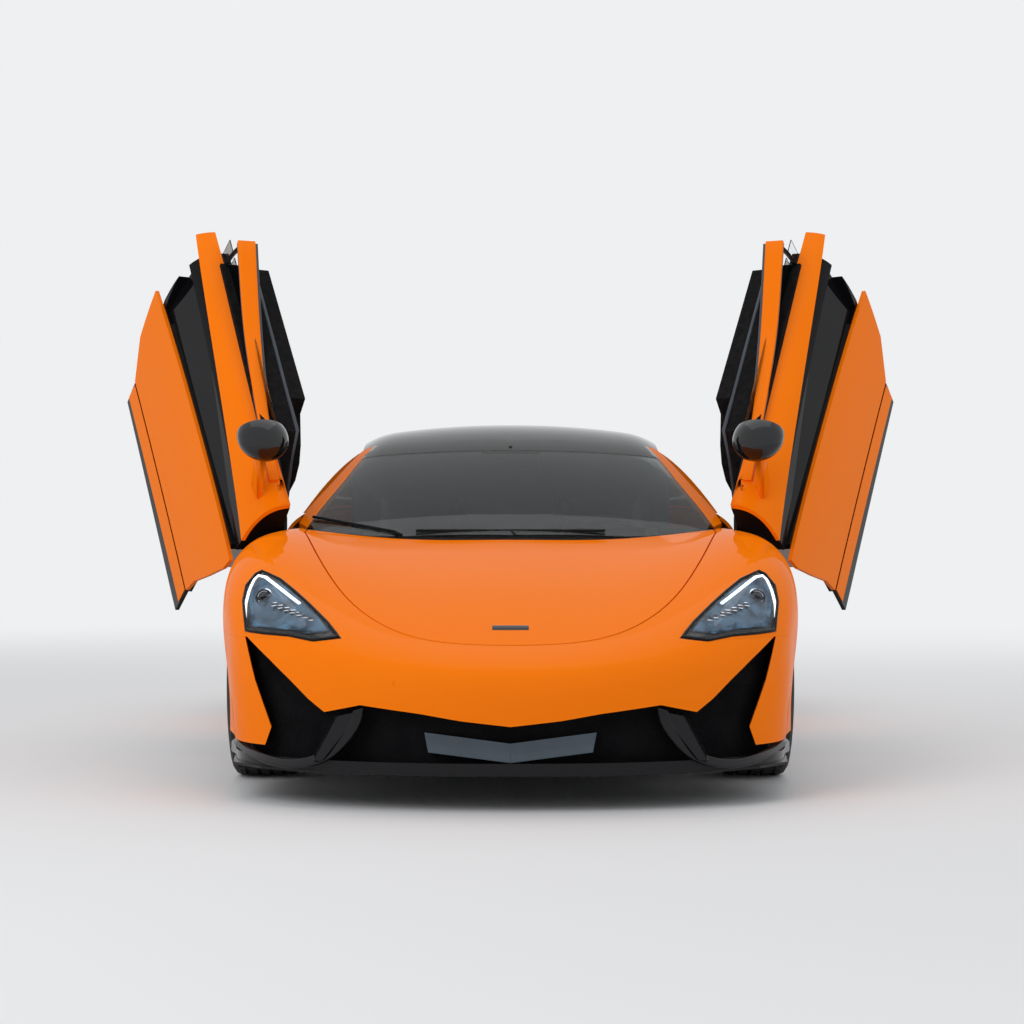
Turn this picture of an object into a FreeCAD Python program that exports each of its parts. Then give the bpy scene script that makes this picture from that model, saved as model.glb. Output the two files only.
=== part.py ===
import FreeCAD, Part
import math
import os

# Mid-engined two-seat supercar, doors raised. Millimetres; +Z up, the nose points along -Y, x = 0 is the centre plane
V = FreeCAD.Vector
doc = FreeCAD.newDocument("supercar")

# Driving dimensions, kept as plain numbers in the sheet under these names
DIMENSIONS = {
    "overallLength": 4530, "wheelbase": 2670, "frontOverhang": 1100,
    "frontTyreRadius": 320, "frontTyreWidth": 225, "frontTrackHalf": 815,
    "rearTyreRadius": 354, "rearTyreWidth": 285, "rearTrackHalf": 803,
    "frontRimRadius": 241, "rearRimRadius": 254, "rimWall": 9, "tyreGap": 0.3,
    "archClearFront": 42, "archClearRear": 38,
    "skin": 14, "shutGap": 5, "seam": 0.3, "glassThickness": 6, "roofThickness": 24,
    "doorOpenAngle": 57.5,
}
sheet = doc.addObject("Spreadsheet::Sheet", "Dimensions")
for row, (alias, value) in enumerate(DIMENSIONS.items(), 1):
    sheet.set("A%d" % row, alias)
    sheet.set("B%d" % row, str(value))
    sheet.setAlias("B%d" % row, alias)
doc.recompute()


def dim(alias):
    return float(sheet.get(alias))


noseY = -dim("overallLength") / 2
frontAxleY = noseY + dim("frontOverhang")
rearAxleY = frontAxleY + dim("wheelbase")

# Body sections from the lip to the tail. Each row runs from the centre line out over the wing's crest
# and the widest point of the flank to its lower edge; "sweep" bends it round the nose or the tail in plan.
BODY_COLUMNS = ("centreY", "centreZ", "crestX", "crestY", "crestZ", "wideX", "wideY", "wideZ",
                "lowX", "lowY", "lowZ", "sweep", "dip")
BODY_ROWS = [
    (-2240, 112, 640, -2090, 112, 868, -1770, 118, 925, -1470, 120, 2.4, 0),
    (-2256, 255, 640, -2085, 270, 880, -1765, 270, 930, -1420, 120, 2.4, 0),
    (-2282, 400, 650, -2084, 440, 893, -1755, 430, 932, -1370, 120, 2.4, 0),
    (-2232, 440, 672, -1990, 530, 905, -1700, 540, 934, -1320, 120, 2.3, 0),
    (-2110, 495, 725, -1870, 610, 922, -1620, 590, 936, -1280, 120, 2.2, 6),
    (-1900, 575, 775, -1700, 715, 940, -1500, 600, 937, -1230, 120, 2.0, 22),
    (-1640, 655, 800, -1480, 790, 955, -1350, 600, 938, -1180, 120, 2.0, 30),
    (-1360, 715, 808, -1250, 828, 962, -1200, 590, 938, -1130, 120, 2.0, 28),
    (-1090, 763, 800, -1020, 836, 955, -1010, 580, 936, -1000, 120, 2.0, 22),
    (-860, 800, 790, -830, 832, 940, -850, 570, 932, -860, 120, 2.0, 12),
    (-550, 815, 800, -550, 832, 932, -550, 560, 932, -550, 120, 2.0, 0),
    (-150, 822, 812, -150, 846, 930, -150, 555, 934, -150, 120, 2.0, 0),
    (250, 832, 815, 250, 866, 934, 250, 565, 936, 250, 120, 2.0, 0),
    (600, 845, 812, 600, 884, 948, 600, 600, 940, 600, 120, 2.0, 0),
    (950, 860, 800, 950, 892, 965, 950, 640, 942, 950, 120, 2.0, 0),
    (1250, 870, 785, 1250, 896, 975, 1230, 660, 944, 1180, 120, 2.0, 0),
    (1520, 875, 780, 1500, 896, 978, 1480, 660, 944, 1400, 120, 2.0, 0),
    (1800, 876, 770, 1760, 890, 965, 1700, 660, 944, 1560, 120, 2.0, 0),
    (2060, 878, 750, 2010, 884, 940, 1900, 650, 942, 1660, 130, 2.0, 0),
    (2235, 884, 730, 2140, 888, 920, 1990, 620, 940, 1720, 140, 2.0, 0),
    (2250, 810, 735, 2155, 810, 912, 2010, 560, 938, 1760, 150, 2.0, 0),
    (2276, 600, 735, 2165, 590, 908, 2020, 480, 936, 1790, 160, 2.0, 0),
    (2274, 420, 732, 2160, 410, 905, 2015, 400, 934, 1815, 170, 2.0, 0),
    (2215, 260, 720, 2120, 260, 895, 1990, 300, 930, 1840, 190, 2.0, 0),
]

# Canopy sections: windscreen, roof and the fastback behind it
CANOPY_COLUMNS = ("centreY", "centreZ", "railX", "railY", "railZ", "beltX", "beltY", "beltZ")
CANOPY_ROWS = [
    (-1030, 725, 760, -900, 735, 800, -860, 740),
    (-760, 868, 738, -700, 850, 792, -690, 800),
    (-400, 1040, 640, -380, 1005, 805, -420, 815),
    (-60, 1168, 545, -60, 1135, 815, -120, 822),
    (250, 1216, 545, 250, 1170, 826, 220, 832),
    (550, 1208, 560, 550, 1150, 842, 550, 850),
    (900, 1140, 560, 900, 1085, 830, 900, 880),
    (1300, 1045, 520, 1300, 1010, 770, 1300, 905),
    (1700, 955, 470, 1700, 945, 690, 1700, 905),
    (2050, 880, 430, 2050, 880, 600, 2050, 880),
]


def knotVector(count):
    """Knots and multiplicities of a clamped cubic through that many poles."""
    spans = count - 3
    return list(range(spans + 1)), [4] + [1] * (spans - 1) + [4]


def poleSurface(grid):
    surface = Part.BSplineSurface()
    knotsU, timesU = knotVector(len(grid))
    knotsV, timesV = knotVector(len(grid[0]))
    surface.buildFromPolesMultsKnots(grid, timesU, timesV, knotsU, knotsV, False, False, 3, 3)
    return surface


def mirrored(half):
    """A full row of points from its half on the +X side, centre first."""
    return [V(-p.x, p.y, p.z) for p in reversed(half[1:])] + half


def bodyGrid():
    grid = []
    for values in BODY_ROWS:
        r = dict(zip(BODY_COLUMNS, values))
        half = []
        for share in (0, 0.28, 0.55, 0.8, 1):
            bend = share ** r["sweep"]
            x = r["crestX"] * share
            y = r["centreY"] + (r["crestY"] - r["centreY"]) * bend
            z = r["centreZ"] + (r["crestZ"] - r["centreZ"]) * share ** 1.8 - r["dip"] * math.sin(math.pi * share)
            half.append(V(x, y, z))
        crest = half[-1]
        wide = V(r["wideX"], r["wideY"], r["wideZ"])
        low = V(r["lowX"], r["lowY"], r["lowZ"])
        half.append(V(crest.x + (wide.x - crest.x) * 0.78, (crest.y + wide.y) / 2, crest.z + (wide.z - crest.z) * 0.3))
        half.append(wide)
        half.append(V(wide.x + 4, (wide.y + low.y) / 2, (wide.z + low.z) / 2))
        half.append(low)
        grid.append(mirrored(half))
    return grid


def canopyGrid():
    grid = []
    for values in CANOPY_ROWS:
        r = dict(zip(CANOPY_COLUMNS, values))
        half = []
        for share in (0, 0.4, 0.78, 1):
            half.append(V(r["railX"] * share,
                          r["centreY"] + (r["railY"] - r["centreY"]) * share ** 2,
                          r["centreZ"] + (r["railZ"] - r["centreZ"]) * share ** 2.4))
        rail = half[-1]
        belt = V(r["beltX"], r["beltY"], r["beltZ"])
        half.append(rail * 0.55 + belt * 0.45 + V(28, 0, 18))
        half.append(belt)
        grid.append(mirrored(half))
    return grid


def insetGrid(grid, depth):
    """The grid moved inwards along its own normals by depth."""
    rows, cols = len(grid), len(grid[0])
    moved = []
    for i in range(rows):
        line = []
        for j in range(cols):
            along = grid[min(i + 1, rows - 1)][j] - grid[max(i - 1, 0)][j]
            across = grid[i][min(j + 1, cols - 1)] - grid[i][max(j - 1, 0)]
            normal = across.cross(along)
            normal.normalize()
            line.append(grid[i][j] - normal * depth)
        moved.append(line)
    return moved


def thickShell(grid, inner):
    """A closed solid between two surfaces of matching grids."""
    outer, under = poleSurface(grid), poleSurface(inner)
    faces = [outer.toShape(), under.toShape()]
    for top, bottom in ((outer.uIso(outer.bounds()[0]), under.uIso(under.bounds()[0])),
                        (outer.uIso(outer.bounds()[1]), under.uIso(under.bounds()[1])),
                        (outer.vIso(outer.bounds()[2]), under.vIso(under.bounds()[2])),
                        (outer.vIso(outer.bounds()[3]), under.vIso(under.bounds()[3]))):
        faces.append(Part.makeRuledSurface(top.toShape(), bottom.toShape()))
    shell = Part.makeShell(faces)
    shell.sewShape()
    solid = Part.makeSolid(shell)
    if solid.Volume < 0:
        solid.reverse()
    return solid



def solidOf(shape):
    """The solids of a boolean's result, cleaned of slivers."""
    keep = [piece for piece in shape.Solids if piece.Volume > 60]
    return keep[0] if len(keep) == 1 else Part.makeCompound(keep)


def outlineWire(points, smooth, toVector):
    """A closed wire through plane points: straight edges, or one curve and a closing edge when smooth."""
    spots = [toVector(a, b) for a, b in points]
    if not smooth:
        return Part.makePolygon(spots + [spots[0]])
    curve = Part.BSplineCurve()
    curve.interpolate(spots)
    return Part.Wire([curve.toShape(), Part.LineSegment(spots[-1], spots[0]).toShape()])


def prismZ(points, low, high, smooth=False):
    wire = outlineWire(points, smooth, lambda x, y: V(x, y, low))
    return Part.Face(wire).extrude(V(0, 0, high - low))


def prismX(points, low, high, smooth=False):
    wire = outlineWire(points, smooth, lambda y, z: V(low, y, z))
    return Part.Face(wire).extrude(V(high - low, 0, 0))


def prismY(points, low, high, smooth=False):
    wire = outlineWire(points, smooth, lambda x, z: V(x, low, z))
    return Part.Face(wire).extrude(V(0, high - low, 0))


def box(x0, x1, y0, y1, z0, z1):
    return Part.makeBox(x1 - x0, y1 - y0, z1 - z0, V(x0, y0, z0))


def flip(shape):
    """The mirror image across the centre plane."""
    return shape.mirror(V(0, 0, 0), V(1, 0, 0))


def both(shape):
    return Part.makeCompound([shape, flip(shape)])


def rod(start, end, radius):
    return Part.makeCylinder(radius, (end - start).Length, start, end - start)


def slab(corners, thickness):
    """A flat-sided plate: four corners and the same four moved by the thickness vector."""
    back = [corner + thickness for corner in corners]
    faces = []
    for ring in (corners, back):
        faces.append(Part.Face(Part.makePolygon([ring[0], ring[1], ring[2], ring[0]])))
        faces.append(Part.Face(Part.makePolygon([ring[0], ring[2], ring[3], ring[0]])))
    for i in range(4):
        j = (i + 1) % 4
        faces.append(Part.Face(Part.makePolygon([corners[i], corners[j], back[j], back[i], corners[i]])))
    solid = Part.makeSolid(Part.makeShell(faces))
    if solid.Volume < 0:
        solid.reverse()
    return solid


def addNode(label, shape, placement=None):
    node = doc.addObject("Part::Feature", label)
    node.Label = label
    node.Shape = shape
    if placement:
        node.Placement = placement
    NODES.append(node)
    return node


NODES = []
skin = dim("skin")
gap = dim("shutGap")
seam = dim("seam")

# Master skins of the lower body and the canopy
bodyPoles = bodyGrid()
canopyPoles = canopyGrid()
bodySkin = thickShell(bodyPoles, insetGrid(bodyPoles, skin))
deepSkin = thickShell(insetGrid(bodyPoles, 52), insetGrid(bodyPoles, 60))
canopySkin = thickShell(canopyPoles, insetGrid(canopyPoles, dim("roofThickness")))
glassSkin = thickShell(canopyPoles, insetGrid(canopyPoles, dim("glassThickness")))
coreSkin = thickShell(insetGrid(bodyPoles, skin), insetGrid(bodyPoles, 150))
aboveSkin = thickShell(insetGrid(bodyPoles, -260), insetGrid(bodyPoles, skin))
aboveCanopy = thickShell(insetGrid(canopyPoles, -200), insetGrid(canopyPoles, dim("roofThickness")))


def under(shape):
    """The shape trimmed so that it ends on the undersides of the body panels."""
    return shape.cut(aboveSkin)


# Outlines, one side, centre first
BONNET_EDGE = [(122, -2104), (243, -2081), (336, -2033), (416, -1956), (501, -1824), (577, -1626), (644, -1356),
               (702, -1010)]
LAMP_EDGE = [(846, 610), (842, 658), (814, 695), (792, 706), (728, 682), (671, 644), (621, 607), (555, 554),
             (512, 511), (600, 500), (676, 512), (760, 515), (826, 520)]
BUMPER_LOWER = [(0, 259), (150, 276), (269, 296), (450, 318), (561, 293), (611, 330), (670, 384), (736, 440),
                (806, 496)]
BLADE_INNER = [(824, 505), (786, 376), (731, 237), (752, 180)]


def wheelArch(axleY, radius, clear, inner=560, z=None):
    return Part.makeCylinder(radius + clear, 1100 - inner, V(inner, axleY, radius), V(1, 0, 0))


def bonnetOutline(grow):
    """The lid's front and side edges in plan, moved outwards by grow, from its left rear corner to its right one."""
    line = [(0, -2109)] + BONNET_EDGE
    right = []
    for i, (x, y) in enumerate(line):
        before = (-line[1][0], line[1][1]) if i == 0 else line[i - 1]
        after = line[min(i + 1, len(line) - 1)]
        dx, dy = after[0] - before[0], after[1] - before[1]
        length = math.hypot(dx, dy)
        right.append((x + grow * dy / length, y - grow * dx / length))
    return [(-x, y) for x, y in reversed(right[1:])] + right


def bonnetPrism(grow):
    """Plan area of the lid, closed at the cowl by a line behind the screen's foot."""
    rim = bonnetOutline(grow)
    curve = Part.BSplineCurve()
    curve.interpolate([V(x, y, 380) for x, y in rim])
    start, end = rim[0], rim[-1]
    cowl = [V(end[0], end[1], 380), V(end[0], -880 + grow, 380), V(640, -885 + grow, 380), V(400, -908 + grow, 380),
            V(0, -925 + grow, 380), V(-400, -908 + grow, 380), V(-640, -885 + grow, 380), V(start[0], -880 + grow, 380),
            V(start[0], start[1], 380)]
    wire = Part.Wire([curve.toShape()] + Part.makePolygon(cowl).Edges)
    return Part.Face(wire).extrude(V(0, 0, 600))


lampPrism = prismY(LAMP_EDGE, -2300, -1500)
lampHole = prismY([(x + (seam if x > 700 else -seam), z + (seam if z > 580 else -seam)) for x, z in LAMP_EDGE],
                  -2300, -1500)
archFront = wheelArch(frontAxleY, dim("frontTyreRadius"), dim("archClearFront"))
archRear = wheelArch(rearAxleY, dim("rearTyreRadius"), dim("archClearRear"))


# Bonnet with its two hinge eyes
lidEye = rod(V(600, -930, 783), V(630, -930, 783), 9).fuse(under(box(600, 630, -980, -930, 780, 900)))
lidEye = lidEye.cut(rod(V(580, -930, 783), V(650, -930, 783), 5.05))
addNode("bonnet", solidOf(bodySkin.common(bonnetPrism(0)).fuse(both(lidEye))))

# Nose panel between the bonnet, the lamps and the dark intakes
noseArea = prismY(BUMPER_LOWER + [(830, 515), (830, 800), (0, 800)], -2400, -1700)
behindSeam = prismZ([(400, -1850), (462, -1907), (552, -1987), (900, -2000), (900, -1500), (400, -1500)], 505, 900)
noseArea = noseArea.cut(behindSeam)
nose = bodySkin.common(noseArea.fuse(flip(noseArea))).cut(bonnetPrism(gap + 1)).cut(both(lampHole))

# Front wings, from the lamp back to the door, open over the wheel
wingArea = prismZ([(400, -1850), (462 + seam, -1907 + seam), (552 + seam, -1987 + seam), (900, -2000 + seam), (1100, -2000), (1100, -560), (100, -560),
                   (100, -1850)], 505 + seam, 1000)
wingArea = wingArea.fuse(box(600, 1100, frontAxleY, -560, 112, 700))
screenFoot = prismZ([(0, -925), (400, -908), (640, -885), (712, -880), (735, -740), (760, -560), (0, -560)], 600, 1000)
pillarArea = prismZ([(716 + seam, -742), (684 + seam, -640), (604 + seam, -400), (514 + seam, -60), (556, -60),
                     (648, -370), (727, -600), (748, -700)], 600, 1400)
doorFront = [(-640, 90), (-700, 110), (-703, 245), (-726, 330), (-786, 440), (-844, 560), (-854, 614), (-837, 700),
             (-776, 815), (-722, 1000), (0, 1000), (0, 90)]
wing = bodySkin.common(wingArea).cut(bonnetPrism(gap + 1)).cut(screenFoot).cut(pillarArea).cut(lampHole).cut(archFront)
wing = solidOf(wing.cut(prismX(doorFront, 300, 1200)))
addNode("wing_left", wing)
addNode("wing_right", flip(wing))
blade = bodySkin.common(prismY(BLADE_INNER + [(1100, 180), (1100, 505)], -2100, frontAxleY)).cut(archFront)
blade = solidOf(blade.cut(prismY([(0, 0), (600, 0), (600, 900), (0, 900)], -2400, -1000)))

addNode("front_bumper", Part.makeCompound([solidOf(nose), blade, flip(blade)]))

# Lower black nose: lip, floor tray, intake backs, vanes and the centre plate
lip = bodySkin.common(box(-1000, 1000, -2400, -1540, 90, 148)).cut(both(archFront))
tray = []
for share, y in ((0, -2225), (0.25, -2212), (0.45, -2175), (0.62, -2108), (0.78, -1990), (0.88, -1860), (0.9, -1600)):
    tray.append((share * 980, y))
outline = [(-x, y) for x, y in reversed(tray[1:])] + tray
trayPlate = prismZ(outline, 108, 116).cut(both(archFront.cut(box(0, 2000, -1600, 0, 0, 2000))))
splitter = solidOf(lip.fuse(trayPlate))
backArea = prismY([(x, z + 14) for x, z in BUMPER_LOWER] + [(835, 520), (880, 500), (880, 116), (0, 116)], -2400, -1560)
backing = solidOf(deepSkin.common(backArea.fuse(flip(backArea))).cut(both(archFront)))
vane = slab([V(447, -2180, 300), V(520, -2150, 282), V(592, -2140, 148), V(566, -2150, 148)], V(10, 34, 0))
plate = slab([V(0, -2222, 205), V(255, -2205, 236), V(243, -2203, 178), V(0, -2222, 152)], V(0, 12, 0))
beforeBack = thickShell(insetGrid(bodyPoles, -100), insetGrid(bodyPoles, 52))
plate = plate.fuse(box(100, 110, -2206, -2100, 175, 205).common(beforeBack))
addNode("front_splitter", Part.makeCompound([splitter, vane.cut(splitter), flip(vane).cut(splitter),
                                              plate.fuse(flip(plate))]))

# Headlamps: clear cover flush with the wing and the dark bowl behind it
lens = solidOf(bodySkin.common(lampPrism))
addNode("lamp_covers", both(lens))
lampMid = (sum(x for x, z in LAMP_EDGE) / len(LAMP_EDGE), sum(z for x, z in LAMP_EDGE) / len(LAMP_EDGE))
lampInner = prismY([(lampMid[0] + (x - lampMid[0]) * 0.93, lampMid[1] + (z - lampMid[1]) * 0.93) for x, z in LAMP_EDGE],
                   -2300, -1500)
lampWall = thickShell(insetGrid(bodyPoles, skin), insetGrid(bodyPoles, 60)).common(lampPrism.cut(lampInner))
bowl = deepSkin.common(lampPrism).fuse(lampWall).cut(archFront)
bowl = solidOf(bowl.cut(solidOf(nose)).cut(blade))
addNode("nose_backing", solidOf(backing.fuse(bowl).fuse(flip(bowl))))

# Canopy: screen, header and roof, orange pillars, rear glass, engine cover and buttresses
PILLAR_IN = [(722, -742), (690, -640), (610, -400), (520, -60)]
PILLAR_OUT = [(760, -700), (735, -600), (652, -370), (562, -60), (556, 20)]
screenArea = prismZ([(0, -905 + 26), (400, -888 + 26), (640, -838 + 26), (716, -742), (684, -640), (604, -400), (514, -60),
                     (400, -82), (0, -98)], 600, 1400)
screen = solidOf(glassSkin.common(screenArea.fuse(flip(screenArea))))
roofArea = prismZ([(0, -98 + seam), (400, -82 + seam), (514, -60 + seam), (556, -60 + seam), (560, 566 - seam),
                   (0, 566 - seam)], 900, 1400)
addNode("roof", solidOf(canopySkin.common(roofArea.fuse(flip(roofArea)))))
pillar = solidOf(canopySkin.common(pillarArea).cut(box(0, 1000, -900, 0, 0, 790)))
rearGlassArea = prismZ([(0, 566), (420, 566), (380, 960), (0, 960)], 900, 1400)
rearGlass = (solidOf(glassSkin.common(rearGlassArea.fuse(flip(rearGlassArea)))))
addNode("glazing", Part.makeCompound([screen, rearGlass]))
coverArea = prismZ([(0, 960 + seam), (380, 960 + seam), (350, 1800), (0, 1860)], 700, 1400)
addNode("engine_cover", solidOf(canopySkin.common(coverArea.fuse(flip(coverArea)))))
BELT_PLAN = [(838, 566), (832, 900), (772, 1300), (700, 1700), (650, 1960)]
buttressArea = prismZ(BELT_PLAN + [(0, 1960), (0, 1860 + seam), (350 + seam, 1800 + seam), (380 + seam, 960), (420 + seam, 566)], 700, 1400)
rearButtress = solidOf(canopySkin.common(buttressArea.fuse(flip(buttressArea))).cut(box(-1000, 1000, 500, 2500, 0, 860)))
addNode("canopy_frame", Part.makeCompound([pillar, flip(pillar)] + rearButtress.Solids))

# Rear quarters with the side intake, tail deck, tail panel, bumper, diffuser
doorRear = [(-300, 90), (296, 110), (308, 245), (416, 381), (470, 590), (452, 640), (560, 790), (532, 838),
            (508, 1000), (-300, 1000)]
quarterArea = prismZ([(x + seam, y) for x, y in BELT_PLAN] + [(1100, 1960), (1100, 200), (838, 200)], 112, 1000)
intake = prismX([(400, 600), (500, 600), (640, 720), (600, 800), (480, 800)], 700, 1200)
quarter = bodySkin.common(quarterArea).cut(prismX(doorRear, 300, 1200)).cut(archRear).cut(intake)
quarter = solidOf(quarter)
addNode("quarter_left", quarter)
addNode("quarter_right", flip(quarter))
tailArea = box(-1100, 1100, 1960 + seam, 2400, 600, 1000)
tail = bodySkin.common(tailArea.fuse(prismZ([(-649, 1880), (649, 1880), (649, 1966), (-649, 1966)], 800, 1000)))
tail = tail.cut(canopySkin).cut(box(-640, 640, 2100, 2400, 600, 800))
lampCut = prismX([(1995, 645), (2400, 645), (2400, 765), (1995, 765)], 645, 1000)
tail = solidOf(tail.cut(both(lampCut)))
lampBand = prismX([(1995 + seam, 645 + seam), (2400, 645 + seam), (2400, 765 - seam), (1995 + seam, 765 - seam)],
                  645 + seam, 1000)
tailLamp = bodySkin.common(lampBand)
addNode("tail_lamps", both(solidOf(tailLamp)))
tailPanel = deepSkin.common(box(-620, 620, 2100, 2400, 430, 800)).cut(both(rod(V(330, 1990, 380), V(330, 2400, 380), 60)))
addNode("tail_panel", solidOf(tailPanel))
bumperArea = box(-1100, 1100, 1960 + seam, 2400, 240, 600)
rearBumper = bodySkin.common(bumperArea).cut(box(-620, 620, 2100, 2400, 430, 600)).cut(box(-500, 500, 2100, 2400, 0, 330))
tipHole = rod(V(330, 1990, 380), V(330, 2400, 380), 60)
rearBumper = solidOf(rearBumper.cut(both(archRear)).cut(both(tipHole)))
addNode("rear_bumper", solidOf(tail.fuse(rearBumper)))
fin = slab([V(150, 1800, 130), V(150, 2170, 150), V(150, 2200, 320), V(150, 1800, 300)], V(8, 0, 0))
diffuserPlate = slab([V(-495, 1700, 112), V(495, 1700, 112), V(495, 2220, 250), V(-495, 2220, 250)], V(0, 0, 8))
diffuser = (solidOf(diffuserPlate.fuse(both(fin)).fuse(both(fin.translated(V(195, 0, 0))))))
tip = rod(V(330, 1972, 380), V(330, 2250, 380), 52).cut(rod(V(330, 1990, 380), V(330, 2270, 380), 48))

# Tub: floor, sills, bulkheads, the scuttle under the screen, luggage bay and the brackets that carry the panels
floor = box(-880, 880, -600, 640, 112, 124).fuse(box(-500, 500, -1600, -600, 112, 124))
floor = floor.fuse(box(-560, 560, 640, 1700, 112, 124))
sill = box(700, 885, -600, 290, 124, 300)
frontWall = box(-690, 690, -780, -770, 124, 760).fuse(both(under(box(714, 736, -1000, -870, 655, 900))))
frontWall = frontWall.fuse(both(box(676, 690, -960, -770, 650, 740).fuse(box(690, 716, -960, -880, 655, 700))))
rearWall = under(box(-900, 900, 600, 612, 124, 800)).fuse(box(-640, 640, 600, 612, 700, 1200).cut(aboveCanopy))
tailWall = under(box(-640, 640, 1960 + 12, 1984, 240, 1000)).cut(box(-1000, 1000, 1900, 2000, 0, 124))
tailRail = box(300, 340, 1690, 1972, 124, 250)
scuttle = prismX([(-780, 640), (-640, 640), (-640, 735), (-780, 740)], -640, 640)
scuttle = scuttle.fuse(under(box(-300, 300, -884, -780, 720, 900))).fuse(box(-300, 300, -884, -780, 700, 725))
bay = box(-470, 470, -1690, -1000, 124, 560).cut(box(-462, 462, -1682, -1008, 132, 700))
noseRail = under(box(380, 420, -2200, -1690, 350, 390))
bayTie = box(-470, 470, -1000, -790, 124, 132)
aboveDeep = thickShell(insetGrid(bodyPoles, -260), insetGrid(bodyPoles, 60))
panelRail = box(160, 200, 1984, 2300, 450, 490).cut(aboveDeep)
bumperRail = under(box(-60, 60, 1984, 2300, 360, 400))
tub = floor.fuse(both(sill)).fuse(both(panelRail)).fuse(bumperRail).fuse(frontWall).fuse(rearWall).fuse(scuttle).fuse(both(tailRail)).fuse(tailWall)
tub = tub.fuse(bay).fuse(bayTie).fuse(both(noseRail)).fuse(box(-20, 20, -1000, -790, 132, 600))
pinLine = V(-0.854, 0.279, 0.44)
pinLine.normalize()
hingePoint = V(798, -902, 731)
hingePin = rod(hingePoint - pinLine * 44, hingePoint + pinLine * 44, 9)
holder = rod(hingePoint + pinLine * 42, V(722, -880, 735), 8).fuse(rod(hingePoint - pinLine * 42, V(722, -950, 665), 7))
lidPin = rod(V(596, -930, 783), V(650, -930, 783), 5)
lidPin = lidPin.fuse(prismX([(-940, 700), (-940, 784), (-936, 790), (-926, 790), (-918, 784), (-905, 740), (-770, 740),
                             (-770, 700)], 638, 650))
liner = wheelArch(frontAxleY, dim("frontTyreRadius"), 84, 560).cut(wheelArch(frontAxleY, dim("frontTyreRadius"), 80, 400))
liner = under(liner.common(box(0, 990, -2400, 0, 440, 1000))).cut(prismX(doorFront, 300, 1200))
rearLiner = wheelArch(rearAxleY, dim("rearTyreRadius"), 46, 560).cut(wheelArch(rearAxleY, dim("rearTyreRadius"), 42, 400))
rearLiner = under(rearLiner.common(box(0, 990, 900, 1880, 260, 1000))).cut(rearWall).cut(tailWall)
tub = solidOf(tub.fuse(both(hingePin.fuse(holder))).fuse(both(lidPin)).removeSplitter())
addNode("tub", tub)
addNode("wheel_liners", Part.makeCompound(both(solidOf(liner.cut(tub))).Solids + both(solidOf(rearLiner)).Solids))
addNode("exhausts", both(tip.cut(tailWall)))
addNode("diffuser", solidOf(diffuser.cut(tub)))
cowlArea = prismZ([(0, -925), (400, -908), (640, -885), (712, -880), (734, -746), (700, -746), (640, -798), (400, -848),
                   (0, -864)], 600, 1000).cut(bonnetPrism(14)).cut(screenArea).cut(pillarArea)
cowlSkin = thickShell(insetGrid(bodyPoles, 4), insetGrid(bodyPoles, skin))
cowl = cowlSkin.common(cowlArea.fuse(flip(cowlArea)))
wiper = rod(V(-700, -690, 862), V(-404, -838, 812), 5)
wiper = wiper.fuse(rod(V(-404, -838, 812), V(-380, -868, 800), 6))
wiperTwo = rod(V(-330, -845, 816), V(330, -846, 816), 5).fuse(rod(V(0, -845, 816), V(20, -880, 798), 6))
addNode("wipers", Part.makeCompound(solidOf(cowl).Solids + solidOf(wiper.fuse(wiperTwo).cut(canopySkin).cut(cowl)).Solids))

# Cabin
dash = prismX([(-640, 560), (-420, 520), (-380, 620), (-400, 760), (-470, 790), (-640, 770)], -598, 598)
binnacle = prismX([(-430, 740), (-330, 750), (-330, 800), (-430, 815)], 230, 490)
dash = solidOf(dash.fuse(binnacle))
console = prismX([(-640, 124), (480, 124), (480, 380), (-200, 430), (-420, 520), (-640, 560)], -105, 105)
seatSide = [(-210, 170), (330, 150), (470, 240), (600, 800), (560, 950), (500, 960), (380, 480), (300, 300), (-190, 340)]
seatRim = prismX([(-180, 124), (330, 124), (500, 200), (590, 700), (540, 800), (200, 420), (-180, 400)], 132, 590)
seat = prismX(seatSide, 170, 552).fuse(seatRim.cut(prismX([(-190, 330), (300, 300), (380, 480), (500, 900), (300, 900), (-190, 700)], 176, 546)))
seat = solidOf(seat.common(box(100, 600, -300, 592, 124, 1000)))
addNode("seats", both(seat))
column = V(0, -0.92, -0.39)
hubSpot = V(360, -250, 690)
ring = Part.makeTorus(170, 15, hubSpot, column)
spokes = rod(hubSpot - column * 8, hubSpot + column * 30, 42).fuse(rod(hubSpot - V(165, 0, 0), hubSpot + V(165, 0, 0), 11))
addNode("steering_wheel", solidOf(ring.fuse(spokes)))
columnTube = rod(hubSpot + column * 30.3, hubSpot + column * 200, 30).cut(dash)
addNode("dashboard", Part.makeCompound([dash, console] + solidOf(columnTube).Solids[:1]))
addNode("engine_block", box(-300, 300, 680, 1400, 124, 620))

# Doors, modelled shut on the +X side and then swung open about the raked hinge
hingeAxis = V(-0.854, 0.279, 0.44)
openLeft = FreeCAD.Placement(V(0, 0, 0), FreeCAD.Rotation(hingeAxis, -dim("doorOpenAngle")), hingePoint)
openRight = FreeCAD.Placement(V(0, 0, 0), FreeCAD.Rotation(V(0.854, 0.279, 0.44), dim("doorOpenAngle")), V(-798, -902, 731))


def addDoorPiece(name, shape):
    addNode(name + "_left", shape, openLeft)
    addNode(name + "_right", flip(shape), openRight)


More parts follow.
